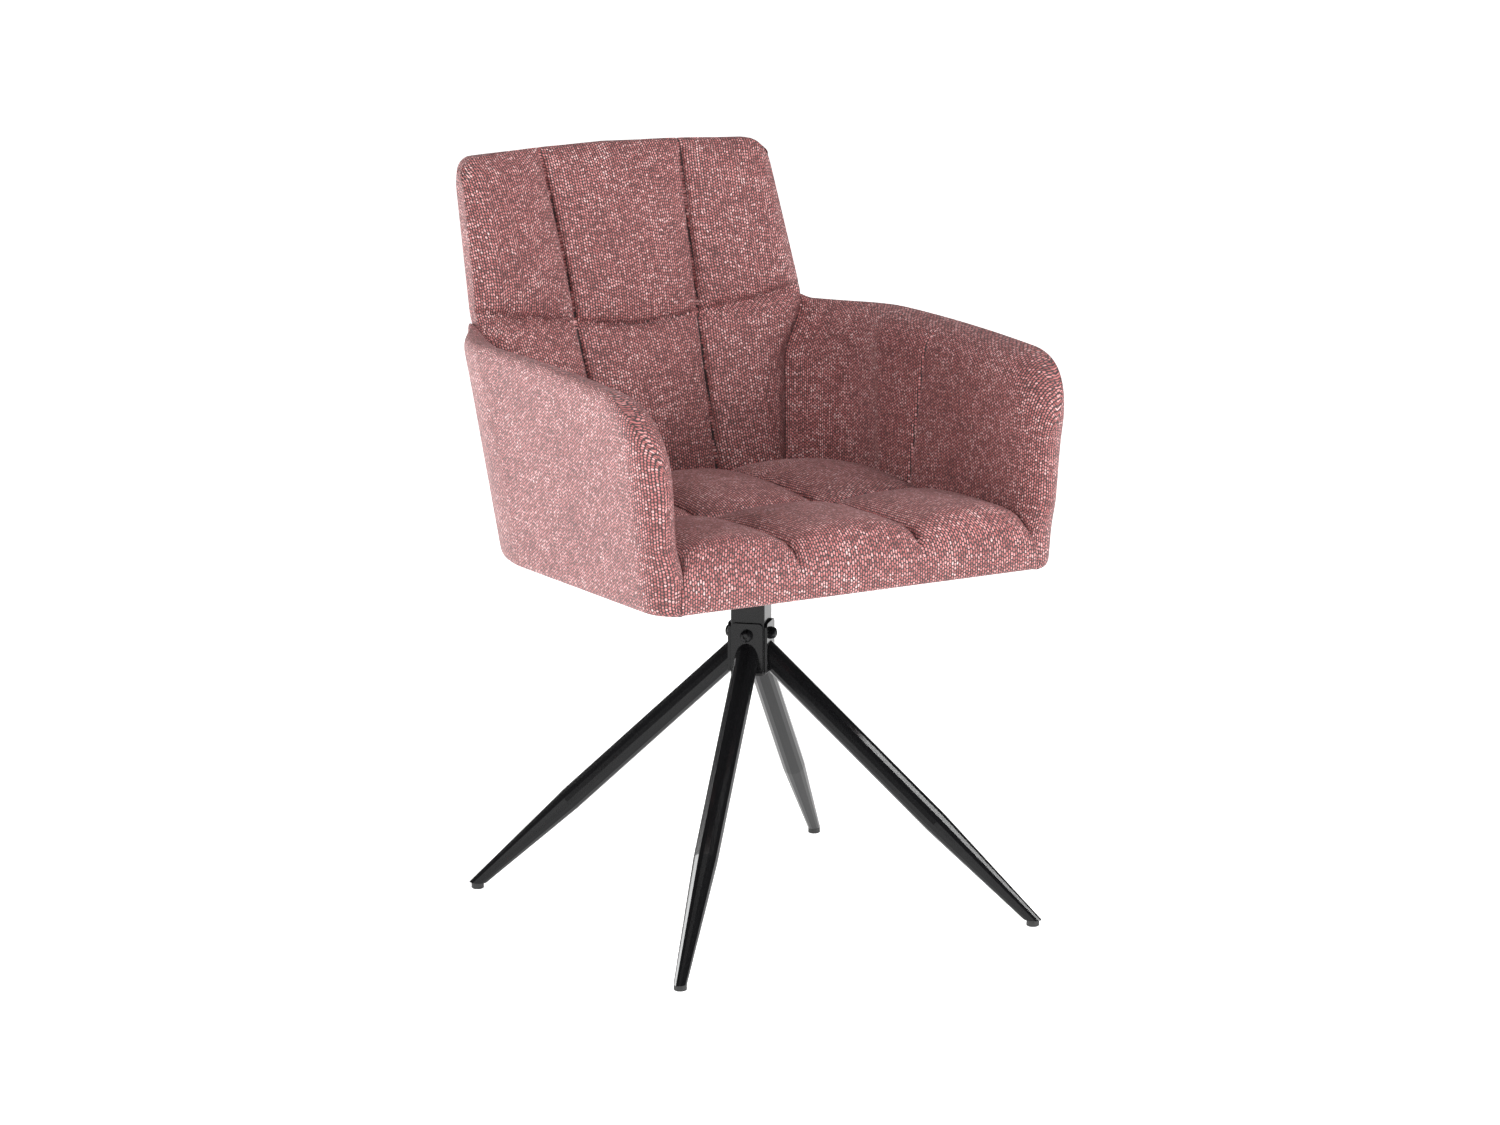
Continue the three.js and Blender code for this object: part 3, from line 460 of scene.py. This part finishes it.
def weave():
    """Heathered weave of short upright stitches. It reads the place on the cloth, in metres."""
    made, tree, shader = material("rose_weave")
    place = node(tree, "ShaderNodeAttribute", attribute_name="cloth").outputs["Vector"]

    def noise(scale, detail, stretch=(1, 1, 0)):
        made = node(tree, "ShaderNodeTexNoise", noise_dimensions="2D")
        made.inputs["Scale"].default_value = scale
        made.inputs["Detail"].default_value = detail
        tree.links.new(vector_maths(tree, "MULTIPLY", place, stretch), made.inputs["Vector"])
        return made

    def random(kind, socket, value):
        made = node(tree, "ShaderNodeTexWhiteNoise", noise_dimensions=kind)
        tree.links.new(value, made.inputs[socket])
        return made.outputs["Value"]

    def scaled(value, factor):
        return maths(tree, "MULTIPLY", value, factor)

    centred = vector_maths(tree, "SUBTRACT", noise(230, 1).outputs["Color"], (0.5, 0.5, 0.5))
    shifted = vector_maths(tree, "MULTIPLY_ADD", centred, (WANDER, WANDER, 0), place)
    apart = tree.nodes.new("ShaderNodeSeparateXYZ")
    tree.links.new(shifted, apart.inputs[0])
    # the columns of stitches are offset by half a stitch, and by chance
    u = maths(tree, "DIVIDE", apart.outputs[0], STITCH_WIDE)
    column = maths(tree, "FLOOR", u)
    across = maths(tree, "FRACT", u)
    offset = maths(tree, "ADD", scaled(column, 0.5), scaled(random("1D", "W", column), 0.3))
    v = maths(tree, "ADD", maths(tree, "DIVIDE", apart.outputs[1], STITCH_LONG), offset)
    row = maths(tree, "FLOOR", v)
    along = maths(tree, "FRACT", v)
    cell = tree.nodes.new("ShaderNodeCombineXYZ")
    tree.links.new(column, cell.inputs[0])
    tree.links.new(row, cell.inputs[1])
    # a stitch is high in its middle and low in the gaps around it
    wide = maths(tree, "POWER", maths(tree, "SINE", scaled(across, math.pi)), 0.9)
    long = maths(tree, "POWER", maths(tree, "SINE", scaled(along, math.pi)), 0.6)
    height = maths(tree, "MULTIPLY", wide, long)
    fibre = noise(1400, 3).outputs["Fac"]
    # tone of each stitch, with soft clouds, long streaks across and fibres
    tone = scaled(random("2D", "Vector", cell.outputs[0]), 0.36)
    tone = maths(tree, "ADD", tone, scaled(noise(20, 4).outputs["Fac"], 0.2))
    tone = maths(tree, "ADD", tone, scaled(noise(1, 2, (30, 360, 0)).outputs["Fac"], 0.42))
    tone = maths(tree, "ADD", tone, scaled(fibre, 0.2))
    cover = maths(tree, "MULTIPLY_ADD", height, 2.8, -1.05)
    cover.node.use_clamp = True
    colour = mix(tree, cover, GAP_COLOUR, ramp(tree, tone, YARN_COLOURS))
    tree.links.new(colour, shader.inputs["Base Color"])
    relief(tree, shader, maths(tree, "ADD", height, scaled(fibre, 0.35)), 0.8, 0.0009)
    rough = maths(tree, "SUBTRACT", 0.66, scaled(fibre, 0.2))
    tree.links.new(rough, shader.inputs["Roughness"])
    shader.inputs["Specular IOR Level"].default_value = 0.7
    shader.inputs["Sheen Weight"].default_value = 0.12
    shader.inputs["Sheen Roughness"].default_value = 0.5
    shader.inputs["Sheen Tint"].default_value = (1.0, 0.93, 0.94, 1)
    return made


def hard(name, low, high, roughness, metallic, scale, bump_size=0.00004, specular=0.5,
         stretch=(1, 1, 1)):
    """Hard material with fine variation between two colours, in roughness and in relief."""
    made, tree, shader = material(name)
    place = tree.nodes.new("ShaderNodeTexCoord")
    grain = tree.nodes.new("ShaderNodeTexNoise")
    grain.inputs["Scale"].default_value = scale
    grain.inputs["Detail"].default_value = 4
    sized = vector_maths(tree, "MULTIPLY", place.outputs["Object"], stretch)
    tree.links.new(sized, grain.inputs["Vector"])
    colour = ramp(tree, grain.outputs["Fac"], [(0.3, low), (0.7, high)])
    tree.links.new(colour, shader.inputs["Base Color"])
    spread = 0.06
    rough = maths(tree, "MULTIPLY_ADD", grain.outputs["Fac"], spread, roughness - spread / 2)
    tree.links.new(rough, shader.inputs["Roughness"])
    relief(tree, shader, grain.outputs["Fac"], 0.5, bump_size)
    shader.inputs["Metallic"].default_value = metallic
    shader.inputs["Specular IOR Level"].default_value = specular
    return made


CLOTH = weave()
BLACK = hard("black_coat", (0.004, 0.004, 0.0045), (0.007, 0.007, 0.0075), 0.15, 0.0, 900,
             bump_size=0.00001, specular=0.22)
ZINC = hard("zinc", (0.5, 0.51, 0.52), (0.68, 0.69, 0.7), 0.34, 1.0, 300)
PLASTIC = hard("black_plastic", (0.012, 0.012, 0.012), (0.024, 0.024, 0.024), 0.55, 0.0, 1500)
NYLON = hard("nylon", (0.72, 0.70, 0.63), (0.82, 0.80, 0.74), 0.45, 0.0, 500)
PLYWOOD = hard("birch_plywood", (0.50, 0.34, 0.19), (0.74, 0.58, 0.38), 0.7, 0.0, 60,
               bump_size=0.0003, stretch=(1, 9, 9))
FELT = hard("dust_cloth", (0.012, 0.012, 0.013), (0.045, 0.045, 0.048), 0.95, 0.0, 2200,
            bump_size=0.0003)
LOOKS = {
    "black_steel": BLACK,
    "zinc_steel": ZINC,
    "black_plastic": PLASTIC,
    "nylon": NYLON,
    "plywood": PLYWOOD,
    "felt": FELT,
    "fabric": CLOTH,
}
for part in frame["record"]["subparts"]:
    shown = frame["nodes"][part["node"]]
    shown.data.materials.clear()
    shown.data.materials.append(LOOKS[part["material_slot"]])


# ---------------------------------------------------------------- upholstery

def dress(piece, nodes):
    """Gives a padded piece its cloth, attaches it to the seat and hides the CAD nodes it stands for."""
    piece.data.materials.clear()
    piece.data.materials.append(CLOTH)
    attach(piece, "seat")
    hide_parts(*nodes)


def bulge(t, sharp=2.6):
    """0 at both ends of a panel and 1 in its middle."""
    return 1 - np.abs(2 * np.clip(t, 0, 1) - 1) ** sharp


def seam_dip(distance, width):
    """1 on a seam, falling smoothly to 0 at a width away from it."""
    t = np.clip(np.abs(distance) / width, 0, 1)
    return (1 - t) ** 2


CELL = 6.5  # size of the grids' cells away from the seams

BACK_SEAM_Z = 655  # the cross seam's height at the middle
BACK_GRID_SEAM = 85  # the grid's column that is bent onto an upright seam
BACK_LOW = BOARD_TOP - 16
BACK_PUFF_LOW = 455  # where the lower puffs start, hidden by the seat
BACK_CREASE = 3.2  # depth of the sewn seams


def back_seam_x(z):
    """The two upright seams spread a little towards the top."""
    return 77 + 0.05 * (z - 540) + 0.02 * np.maximum(0, z - 760)


def back_seam_z(x):
    return BACK_SEAM_Z + 32 * (np.abs(x) / FREE_HALF_WIDTH) ** 1.6


def back_outline():
    """Right half of the back's outline, seen from the front, from its foot to its top."""
    edge = free_edge(BACK_TOP) - BACK_CORNER
    line = [[middle_edge_x(z), z] for z in np.linspace(BACK_LOW - 30, 838, 40)]
    for angle in np.linspace(0, math.pi / 2, 16):
        x = edge + BACK_CORNER * math.cos(angle)
        line.append([x, back_top(x) - BACK_CORNER + BACK_CORNER * math.sin(angle)])
    line.append([0, BACK_TOP])
    return np.array(line)


def back_gaps(points, outline):
    """Distances to the nearest upright seam, to the cross seam and to the rim."""
    x, z = points[:, 0], points[:, 2]
    gap_x = np.abs(np.abs(x) - back_seam_x(z))
    gap_z = np.abs(z - back_seam_z(x))
    return gap_x, gap_z, edge_distance(np.stack([np.abs(x), z], -1), outline)


def before_middle(points, reach):
    """True for points in front of the back's middle, or up to a reach behind it."""
    x, y, z = points.T
    return y - AXIS_Y < (rear_y(x, z) + inner_back_y(x, z)) / 2 + reach


def back_puffs(x, z):
    """Height of the quilting's puffs, from 0 on the seams to 1."""
    seam_x, seam_z = back_seam_x(z), back_seam_z(x)
    side = inner_edge_x(z)
    side_part = (side - np.abs(x)) / (side - seam_x)
    middle_part = (x + seam_x) / (2 * seam_x)
    across = np.where(np.abs(x) > seam_x, side_part, middle_part)
    low_part = (z - BACK_PUFF_LOW) / (seam_z - BACK_PUFF_LOW)
    high_part = np.maximum(0, (z - seam_z) / (BACK_TOP + 14 - seam_z)) ** 0.55
    up = np.where(z < seam_z, bulge(low_part), bulge(high_part, 2.4))
    return np.sqrt(np.maximum(0, bulge(across) * up))


def make_back():
    """Quilted back: padded front, plain rear and the band that joins them."""
    marks = [-FREE_HALF_WIDTH, -BACK_GRID_SEAM, BACK_GRID_SEAM, FREE_HALF_WIDTH]
    xs = graded(marks, CELL, 0.8)
    zs = graded([BACK_LOW, BACK_SEAM_Z, BACK_TOP], 6.0, 1.0)
    c, r = np.meshgrid(xs / FREE_HALF_WIDTH, (zs - zs[0]) / (zs[-1] - zs[0]))
    # c runs from -1 to 1 across the back and r from 0 to 1 up it; the columns of
    # points bend so that one of them runs along each upright seam
    level = lerp(BACK_LOW, BACK_TOP, r)
    seam_share = back_seam_x(level) / inner_edge_x(level)
    plain = BACK_GRID_SEAM / FREE_HALF_WIDTH
    c = np.sign(c) * np.where(np.abs(c) < plain, np.abs(c) * seam_share / plain,
                              1 - (1 - np.abs(c)) * (1 - seam_share) / (1 - plain))
    edge = free_edge(BACK_TOP)
    top = back_top(c * edge) - fall(BACK_CORNER, edge * (1 - np.abs(c)))
    z = lerp(BACK_LOW, top, r)
    outline = back_outline()
    # d is the distance from the rim, over which the faces round towards each other
    d = edge_distance(np.stack([np.abs(c) * middle_edge_x(z), z], -1), outline)
    d = np.where((r == 1) | (np.abs(c) > 1 - 1e-9), 0, d)
    loose = free(z)
    meet = lerp(0.5, 0.9, loose)  # share of the thickness where the two faces meet
    grids = []
    for inner in (False, True):
        radius = lerp(9.0, 5.0, loose) if inner else lerp(7.0, 14.0, loose)
        t = np.clip(1 - d / radius, 0, 1)
        turn = 1 - np.sqrt(1 - t * t)
        share = 1 - (1 - meet) * turn if inner else meet * turn
        x = c * lerp(rear_edge_x(z), inner_edge_x(z), share)
        rear = rear_y(x, z)
        y = rear - share * (rear - inner_back_y(x, z))
        grids.append(np.stack([x, y, z], -1))
    outer, inner = grids
    puff = lerp(16.0, 21.0, smooth(z, 640, 690)) * np.minimum(1, d / 16)
    inner[..., 1] -= puff * back_puffs(inner[..., 0], z)
    # each face's cloth is measured along its own surface, and agrees at the rim
    rim_wide = arc_length(inner, 1)[:, -1:] / 2
    rim_tall = arc_length(inner, 0)[-1]
    cloths = []
    for face in (outer, inner):
        wide, tall = arc_length(face, 1), arc_length(face, 0)
        wide = 2 * wide / wide[:, -1:] - 1
        cloths.append(np.stack([wide * rim_wide, tall / tall[-1] * rim_tall], -1))
    piece = slab_mesh("quilted_back", outer, inner, *cloths)
    # the seams, the rim, the rear face and the foot behind the seat are held
    points = get_points(piece) * 1000
    hold = np.minimum.reduce(back_gaps(points, outline))
    reached = before_middle(points, 0) * (points[:, 2] > 470)
    simulate(piece, smooth(hold, 3, 14) * reached)
    subdivide(piece)
    # sewn creases, cut after the cloth has settled
    points = get_points(piece) * 1000
    gap_x, gap_z, rim = back_gaps(points, outline)
    crease = np.maximum(seam_dip(gap_x, 5.5), seam_dip(gap_z, 5.0)) * before_middle(points, 4)
    crease = np.maximum(crease, 0.7 * seam_dip(rim, 3.5))
    press_in(piece, points, BACK_CREASE * crease)
    dress(piece, ["back_cover", "back_pad"])


ARM_SEAM_Y = 1
ARM_SEAM_LEAN = 0.09  # the inner seam runs backwards as it goes down
ARM_OVERLAP = 0.1  # share of the corner's arc that the arm runs on behind the back's side edge
ARM_ROWS = 235  # rough height of the arm, which sets how far apart its rows are


def make_arm(side, name):
    """Arm with its outer panel, crest, front and padded inner panels, sewn in one. Its
    grids run by a, from the front edge along the arm, and by r, from its foot to its crest."""
    straight = CREST_START - TUB_FRONT
    seam_a = ARM_SEAM_Y - TUB_FRONT
    a_line = graded([0, seam_a, straight + CORNER_RADIUS * (1 + ARM_OVERLAP)], CELL, 0.7)
    a, r = np.meshgrid(a_line, graded([0, 1], CELL / ARM_ROWS, 0.7 / ARM_ROWS))
    # the columns of points lean so that one of them runs along the inner seam
    pull = np.where(a < seam_a, a / seam_a, (a_line[-1] - a) / (a_line[-1] - seam_a))
    lean = pull * ARM_SEAM_LEAN * (ARM_CREST - TUB_BOTTOM) * (1 - r)
    a = a + lean
    station = np.where(a <= straight, 2 - a / straight, 1 - (a - straight) / CORNER_RADIUS)
    _, bend_y = arm_wall(np.minimum(station, 1), 0.0, np.full_like(a, float(ARM_CREST)))
    crest_y = np.where(station > 1, TUB_FRONT + a, bend_y)
    # the crest dips before the corner, lifts against the back and dives behind it
    crest = arm_crest(np.minimum(crest_y, 140))
    crest = crest - 2 * smooth(-station, -0.9, -0.3) + 5 * smooth(-station, -0.12, 0.0)
    crest = crest - 26 * smooth(-station, 0.0, ARM_OVERLAP)
    z = lerp(TUB_BOTTOM, crest, r)
    cy = corner_y(z)
    along = np.where(station > 1, 1 + (cy - crest_y) / (cy - TUB_FRONT), station)
    front_line = [[0, TUB_BOTTOM - 60], [0, crest[0, 0]]]
    outline = np.concatenate([front_line, np.stack([a_line[1:], crest[0, 1:]], -1)])
    d = edge_distance(np.stack([a, z], -1), outline)
    d = np.where((r == 1) | (a == 0), 0, d)
    thick = arm_thickness(along, z)
    behind = smooth(-station, 0.0, ARM_OVERLAP) * 16 / thick
    # the outer and the inner cloth meet well in on the front, near the outer face on the crest
    front_x = lerp(237.5, 250, smooth(z, 455, 500))
    wall = half_width(z) - inner_arm_x(z)
    meet = lerp((half_width(z) - front_x) / wall, 9 / thick, smooth(z, 550, 655))
    # the outer face rounds over to the meeting line, and in under its bottom edge
    radius = lerp(34.0, 16.0, smooth(z, 560, 650))
    t = np.clip(1 - d / radius, 0, 1)
    outer_share = np.minimum(meet * (1 - np.sqrt(1 - t * t)) + behind, 0.9)
    outer_share = outer_share + fall(9.0, z - TUB_BOTTOM) / thick
    # the inner face rounds over more, and swells between its edges and its seam
    radius = lerp(12.0, 38.0, smooth(z, 455, 500))
    radius = lerp(radius, 8.0, smooth(-station, -0.12, 0.0))
    t = np.clip(1 - d / radius, 0, 1)
    inner_share = 1 - (1 - meet) * (1 - np.sqrt(1 - t * t)) - behind
    seam = a - seam_a - lean
    front_panel = bulge(a / (a - seam), 2.2)
    rear_panel = bulge(seam / (straight + CORNER_RADIUS - seam_a), 2.2)
    panels = np.where(seam < 0, front_panel, rear_panel)
    high = bulge((z - 440) / np.maximum(crest - 440, 1), 2.2)
    inner_share = inner_share + 4.5 * np.sqrt(np.maximum(0, panels * high)) / thick
    inner_share = inner_share - 3.0 * seam_dip(seam, 4.5) * smooth(d, 2, 30) / thick
    # the sewn edge is a fine raised line
    ridge = 1.3 * seam_dip(d, 3.0) * smooth(z, 455, 480)
    forward = ridge * (1 - smooth(a, 0, 60)) * smooth(640 - z, 0, 60)
    upward = ridge * smooth(z, 560, 650)
    grids = []
    for share in (outer_share, inner_share):
        x, y = arm_wall(along, share, z)
        grids.append(np.stack([side * x, y - forward, z + upward], -1))
    cloths = []
    for width, radius in ((22, 30), (28, 38)):
        over_front = rim_length(width, radius, a)
        over_crest = rim_length(width, radius, crest - z)
        cloths.append(np.stack([a + over_front, z - over_crest], -1))
    piece = slab_mesh(f"arm_{name}", *grids, *cloths)
    subdivide(piece)
    dress(piece, [f"arm_cover_{name}", f"arm_pad_{name}"])


def inner_half_width(y, z):
    """Half width of the space between the arms where it passes y."""
    near = np.zeros_like(y)
    far = np.ones_like(y)
    for _ in range(22):
        middle = (near + far) / 2
        _, at = arm_wall(middle, 1.0, z)
        near = np.where(at > y, middle, near)
        far = np.where(at > y, far, middle)
    x, _ = arm_wall(far, 1.0, z)
    return np.where(y <= corner_y(z), inner_arm_x(z), x)


SEAT_SEAM_X = 80
SEAT_SEAM_Y = -25
SEAT_VALLEY = 470
SEAT_REAR = 203
SEAT_GRID_HALF = 222  # rough half width of the seat, which sets how far apart its columns are
SEAT_CREASE = 3.0  # depth of the sewn seams
NOSE = 32  # radius of the seat's roll over its front edge
HEM = 5  # radius of the front band's lower edge


def seat_gaps(piece, points, seam_s):
    """Distances to the nearest lengthwise seam and to the cross seam."""
    x = points[:, 0]
    gap_x = np.minimum(np.abs(x + SEAT_SEAM_X), np.abs(x - SEAT_SEAM_X))
    return gap_x, np.abs(get_cloth(piece)[:, 1] - seam_s)


def make_seat():
    """Quilted seat that rolls over its front edge into the front band."""
    x_marks = np.array([-SEAT_GRID_HALF, -SEAT_SEAM_X, SEAT_SEAM_X, SEAT_GRID_HALF])
    x_line = graded(list(x_marks / SEAT_GRID_HALF), CELL / SEAT_GRID_HALF, 0.8 / SEAT_GRID_HALF)
    # s runs from the rear over the flat part and the roll, and down the band
    flat = SEAT_REAR - (TUB_FRONT + NOSE)
    roll = NOSE * math.pi / 2
    band = SEAT_VALLEY - NOSE - (TUB_BOTTOM + HEM)
    band_top = flat + roll
    band_end = band_top + band
    seam_s = SEAT_REAR - SEAT_SEAM_Y
    s_line = graded([0, seam_s, band_end], CELL, 0.8)
    s_line = np.concatenate([s_line, band_end + np.array([1.5, 3.2, 5.2, 7.5])])
    c, s = np.meshgrid(x_line, s_line)
    turn = np.clip((s - flat) / NOSE, 0, math.pi / 2)
    under = np.clip(s - band_end, 0, 8)
    hem_turn = np.clip(under / HEM, 0, math.pi / 2)
    y = SEAT_REAR - np.minimum(s, flat) - NOSE * np.sin(turn) + HEM * (1 - np.cos(hem_turn))
    z = SEAT_VALLEY - NOSE * (1 - np.cos(turn)) - np.clip(s - band_top, 0, band)
    z = z - HEM * np.sin(hem_turn)
    wider = 9 * smooth(s, flat + 0.4 * roll, band_top)  # the band runs on between the arms' fronts
    half = inner_half_width(y, np.maximum(z, 440)) - 0.2 + wider
    x = c * half
    y = y - INNER_WRAP * x * x * np.clip((y - 60) / 150, 0, 1)
    # puffs of the quilting, which run together on the roll
    left = (x + half) / (half - SEAT_SEAM_X)
    right = (half - x) / (half - SEAT_SEAM_X)
    middle = (x + SEAT_SEAM_X) / (2 * SEAT_SEAM_X)
    beside = np.where(x > SEAT_SEAM_X, right, middle)
    across = bulge(np.where(x < -SEAT_SEAM_X, left, beside))
    puff_end = band_top + 26
    across = lerp(across, 1, 0.8 * smooth(s, puff_end - 60, puff_end - 12))
    along = np.where(s < seam_s, s / seam_s, (s - seam_s) / (puff_end - seam_s))
    lift = 27 * np.sqrt(np.maximum(0, across * bulge(along, 2.3))) * (s < puff_end)
    rolled = np.clip((s - flat) / roll, 0, 1)
    tilt = rolled * (math.pi / 2)
    top = np.stack([x, y - lift * np.sin(tilt) * 0.18, z + lift * np.cos(tilt)], -1)
    # the side edges roll in against the arms
    sink = fall(7.0, np.minimum((1 - np.abs(c)) * half, 400)) * (1 - 0.65 * rolled)
    top[..., 2] -= sink * np.cos(tilt)
    top[..., 1] += sink * np.sin(tilt)
    low_z = np.where(s > band_top, np.minimum(BOARD_TOP, z + 2), BOARD_TOP)
    low_z = np.where(under > 0, TUB_BOTTOM + 0.6, low_z)
    low = np.stack([x, np.maximum(y, TUB_FRONT + 14), low_z], -1)
    wide = arc_length(top, 1)
    cloth = np.stack([wide - wide[:, -1:] / 2, s], -1)
    piece = slab_mesh("quilted_seat", top, low, cloth, cloth)
    # the seams, the sides, the front band and the underside are held
    points = get_points(piece) * 1000
    to_end = puff_end - get_cloth(piece)[:, 1]
    hold = np.minimum.reduce(seat_gaps(piece, points, seam_s))
    loose = smooth(hold, 3, 14) * (points[:, 2] > 462) * smooth(to_end, 0, 30)
    simulate(piece, loose * smooth(215 - np.abs(points[:, 0]), 0, 20))
    subdivide(piece)
    # sewn creases, cut after the cloth has settled
    points = get_points(piece) * 1000
    to_end = puff_end - get_cloth(piece)[:, 1]
    gap_x, gap_s = seat_gaps(piece, points, seam_s)
    crease = np.maximum(seam_dip(gap_x, 5.5) * smooth(to_end, 10, 42), seam_dip(gap_s, 5.0))
    press_in(piece, points, SEAT_CREASE * crease * (points[:, 2] > 450))
    dress(piece, ["seat_cushion", "front_band"])


DUST_MARGIN = 16  # from the outer faces of the arms and of the front
DUST_REAR_MARGIN = 9
DUST_THICK = 0.8
DUST_CELLS = 48
PLATE_HALF = 82  # half the side of the square where the plate holds the cloth flat


def make_dust_cloth():
    """Thin cloth stapled under the seat's frame, sagging between its edge and the plate."""
    side = half_width(TUB_BOTTOM) - DUST_MARGIN
    corner = CORNER_RADIUS - DUST_MARGIN
    angles = np.linspace(0, SEAM_ANGLE, 14)
    arc = np.stack([corner_x(TUB_BOTTOM) + corner * np.cos(angles),
                    corner_y(TUB_BOTTOM) + corner * np.sin(angles)], -1)
    across = np.linspace(arc[-1, 0], 0, 14)[1:]
    rear = np.stack([across, rear_y(across, TUB_BOTTOM) - DUST_REAR_MARGIN], -1)
    right = np.concatenate([arc, rear])
    rear_line = np.concatenate([right * [-1, 1], right[-2::-1]])
    # straight columns of points run from the front edge to even steps along the rear one
    pieces = np.linalg.norm(np.diff(rear_line, axis=0), axis=1)
    length = np.insert(np.cumsum(pieces), 0, 0) / pieces.sum()
    share = np.linspace(0, 1, DUST_CELLS + 1)
    ends = np.stack([np.interp(share, length, rear_line[:, k]) for k in (0, 1)], -1)
    starts = np.stack([(2 * share - 1) * side, np.full_like(share, TUB_FRONT + DUST_MARGIN)], -1)
    flat = lerp(starts, ends, share[:, None, None])
    outline = np.concatenate([starts, ends[::-1], starts[:1]])
    from_edge = edge_distance(flat, outline)
    from_plate = np.maximum(0, np.abs(flat).max(-1) - PLATE_HALF)
    sag = 4 * (1 - np.exp(-from_edge / 25)) * (1 - np.exp(-from_plate / 25))
    tuck = 0.4 * np.exp(-from_edge / 18) * np.sin(flat.sum(-1) / 9)
    lower = TUB_BOTTOM + 0.5 - sag - np.abs(tuck)
    under = np.dstack([flat, lower])
    over = np.dstack([flat, lower + DUST_THICK])
    piece = slab_mesh("dust_cloth_sheet", under, over, flat, flat)
    piece.data.materials.append(FELT)
    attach(piece, "seat")
    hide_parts("dust_cover")


make_back()
make_arm(1, "right")
make_arm(-1, "left")
make_seat()
make_dust_cloth()


# ---------------------------------------------------------------- floor, light and camera

def put(name, data, location=(0, 0, 0), rotation=(0, 0, 0)):
    made = bpy.data.objects.new(name, data)
    made.location = location
    made.rotation_euler = rotation
    bpy.context.scene.collection.objects.link(made)
    return made


FLOOR_HALF = 80  # m, so large that its far edge stays near the horizon
corners = [(-1, -1), (1, -1), (1, 1), (-1, 1)]
ground = bpy.data.meshes.new("floor")
ground.from_pydata([(FLOOR_HALF * x, FLOOR_HALF * y, 0) for x, y in corners], [], [(0, 1, 2, 3)])
paint, tree, shader = material("floor_paint")
speck = tree.nodes.new("ShaderNodeTexNoise")
speck.inputs["Scale"].default_value = 40
pale = [(0.3, (0.90, 0.90, 0.90)), (0.7, (0.92, 0.92, 0.92))]
tree.links.new(ramp(tree, speck.outputs["Fac"], pale), shader.inputs["Base Color"])
shader.inputs["Roughness"].default_value = 0.9
shader.inputs["Specular IOR Level"].default_value = 0.1
shader.inputs["Emission Color"].default_value = (1, 1, 1, 1)
shader.inputs["Emission Strength"].default_value = 0.74
ground.materials.append(paint)
put("floor", ground)

world = bpy.data.worlds.new("studio")
bpy.context.scene.world = world
world.use_nodes = True
background = world.node_tree.nodes["Background"]
background.inputs["Color"].default_value = (1, 1, 1, 1)
background.inputs["Strength"].default_value = 0.05


def area_light(name, location, target_height, power, width, height):
    """Rectangular light that looks at the chair's middle at a height."""
    lamp = bpy.data.lights.new(name, "AREA")
    lamp.shape = "RECTANGLE"
    lamp.size = width
    lamp.size_y = height
    lamp.energy = power
    aim = np.array((0, 0, target_height)) - np.array(location)
    yaw = math.atan2(aim[1], aim[0]) - math.pi / 2
    pitch = math.atan2(aim[2], math.hypot(aim[0], aim[1])) + math.pi / 2
    put(name, lamp, location, (pitch, 0, yaw))


area_light("front_right", (2.4, -3.4, 1.3), 0.5, 95, 0.9, 1.6)
area_light("left", (-3.0, -1.6, 1.8), 0.5, 66, 0.7, 1.0)
area_light("rear_left", (-2.2, 2.6, 1.2), 0.5, 92, 0.9, 1.6)
area_light("strip_left", (-2.2, -2.6, 1.9), 0.3, 26, 0.08, 1.6)
area_light("strip_right", (1.6, -1.4, 2.2), 0.3, 20, 0.08, 1.6)

sky = bpy.data.lights.new("high", "SUN")
sky.energy = 1.3
sky.angle = math.radians(40)
put("high", sky, rotation=(math.radians(10), 0, math.radians(60)))
bpy.context.scene.view_settings.view_transform = "Standard"

lens = bpy.data.cameras.new("camera")
lens.lens = 108.0
lens.sensor_width = 36
lens.shift_x = -0.0008
lens.clip_end = 200
camera = put("camera", lens, (-2.640, -4.308 + AXIS_Y / 1000, 1.487),
             (math.radians(77.97), 0, math.radians(-31.5)))
bpy.context.scene.camera = camera
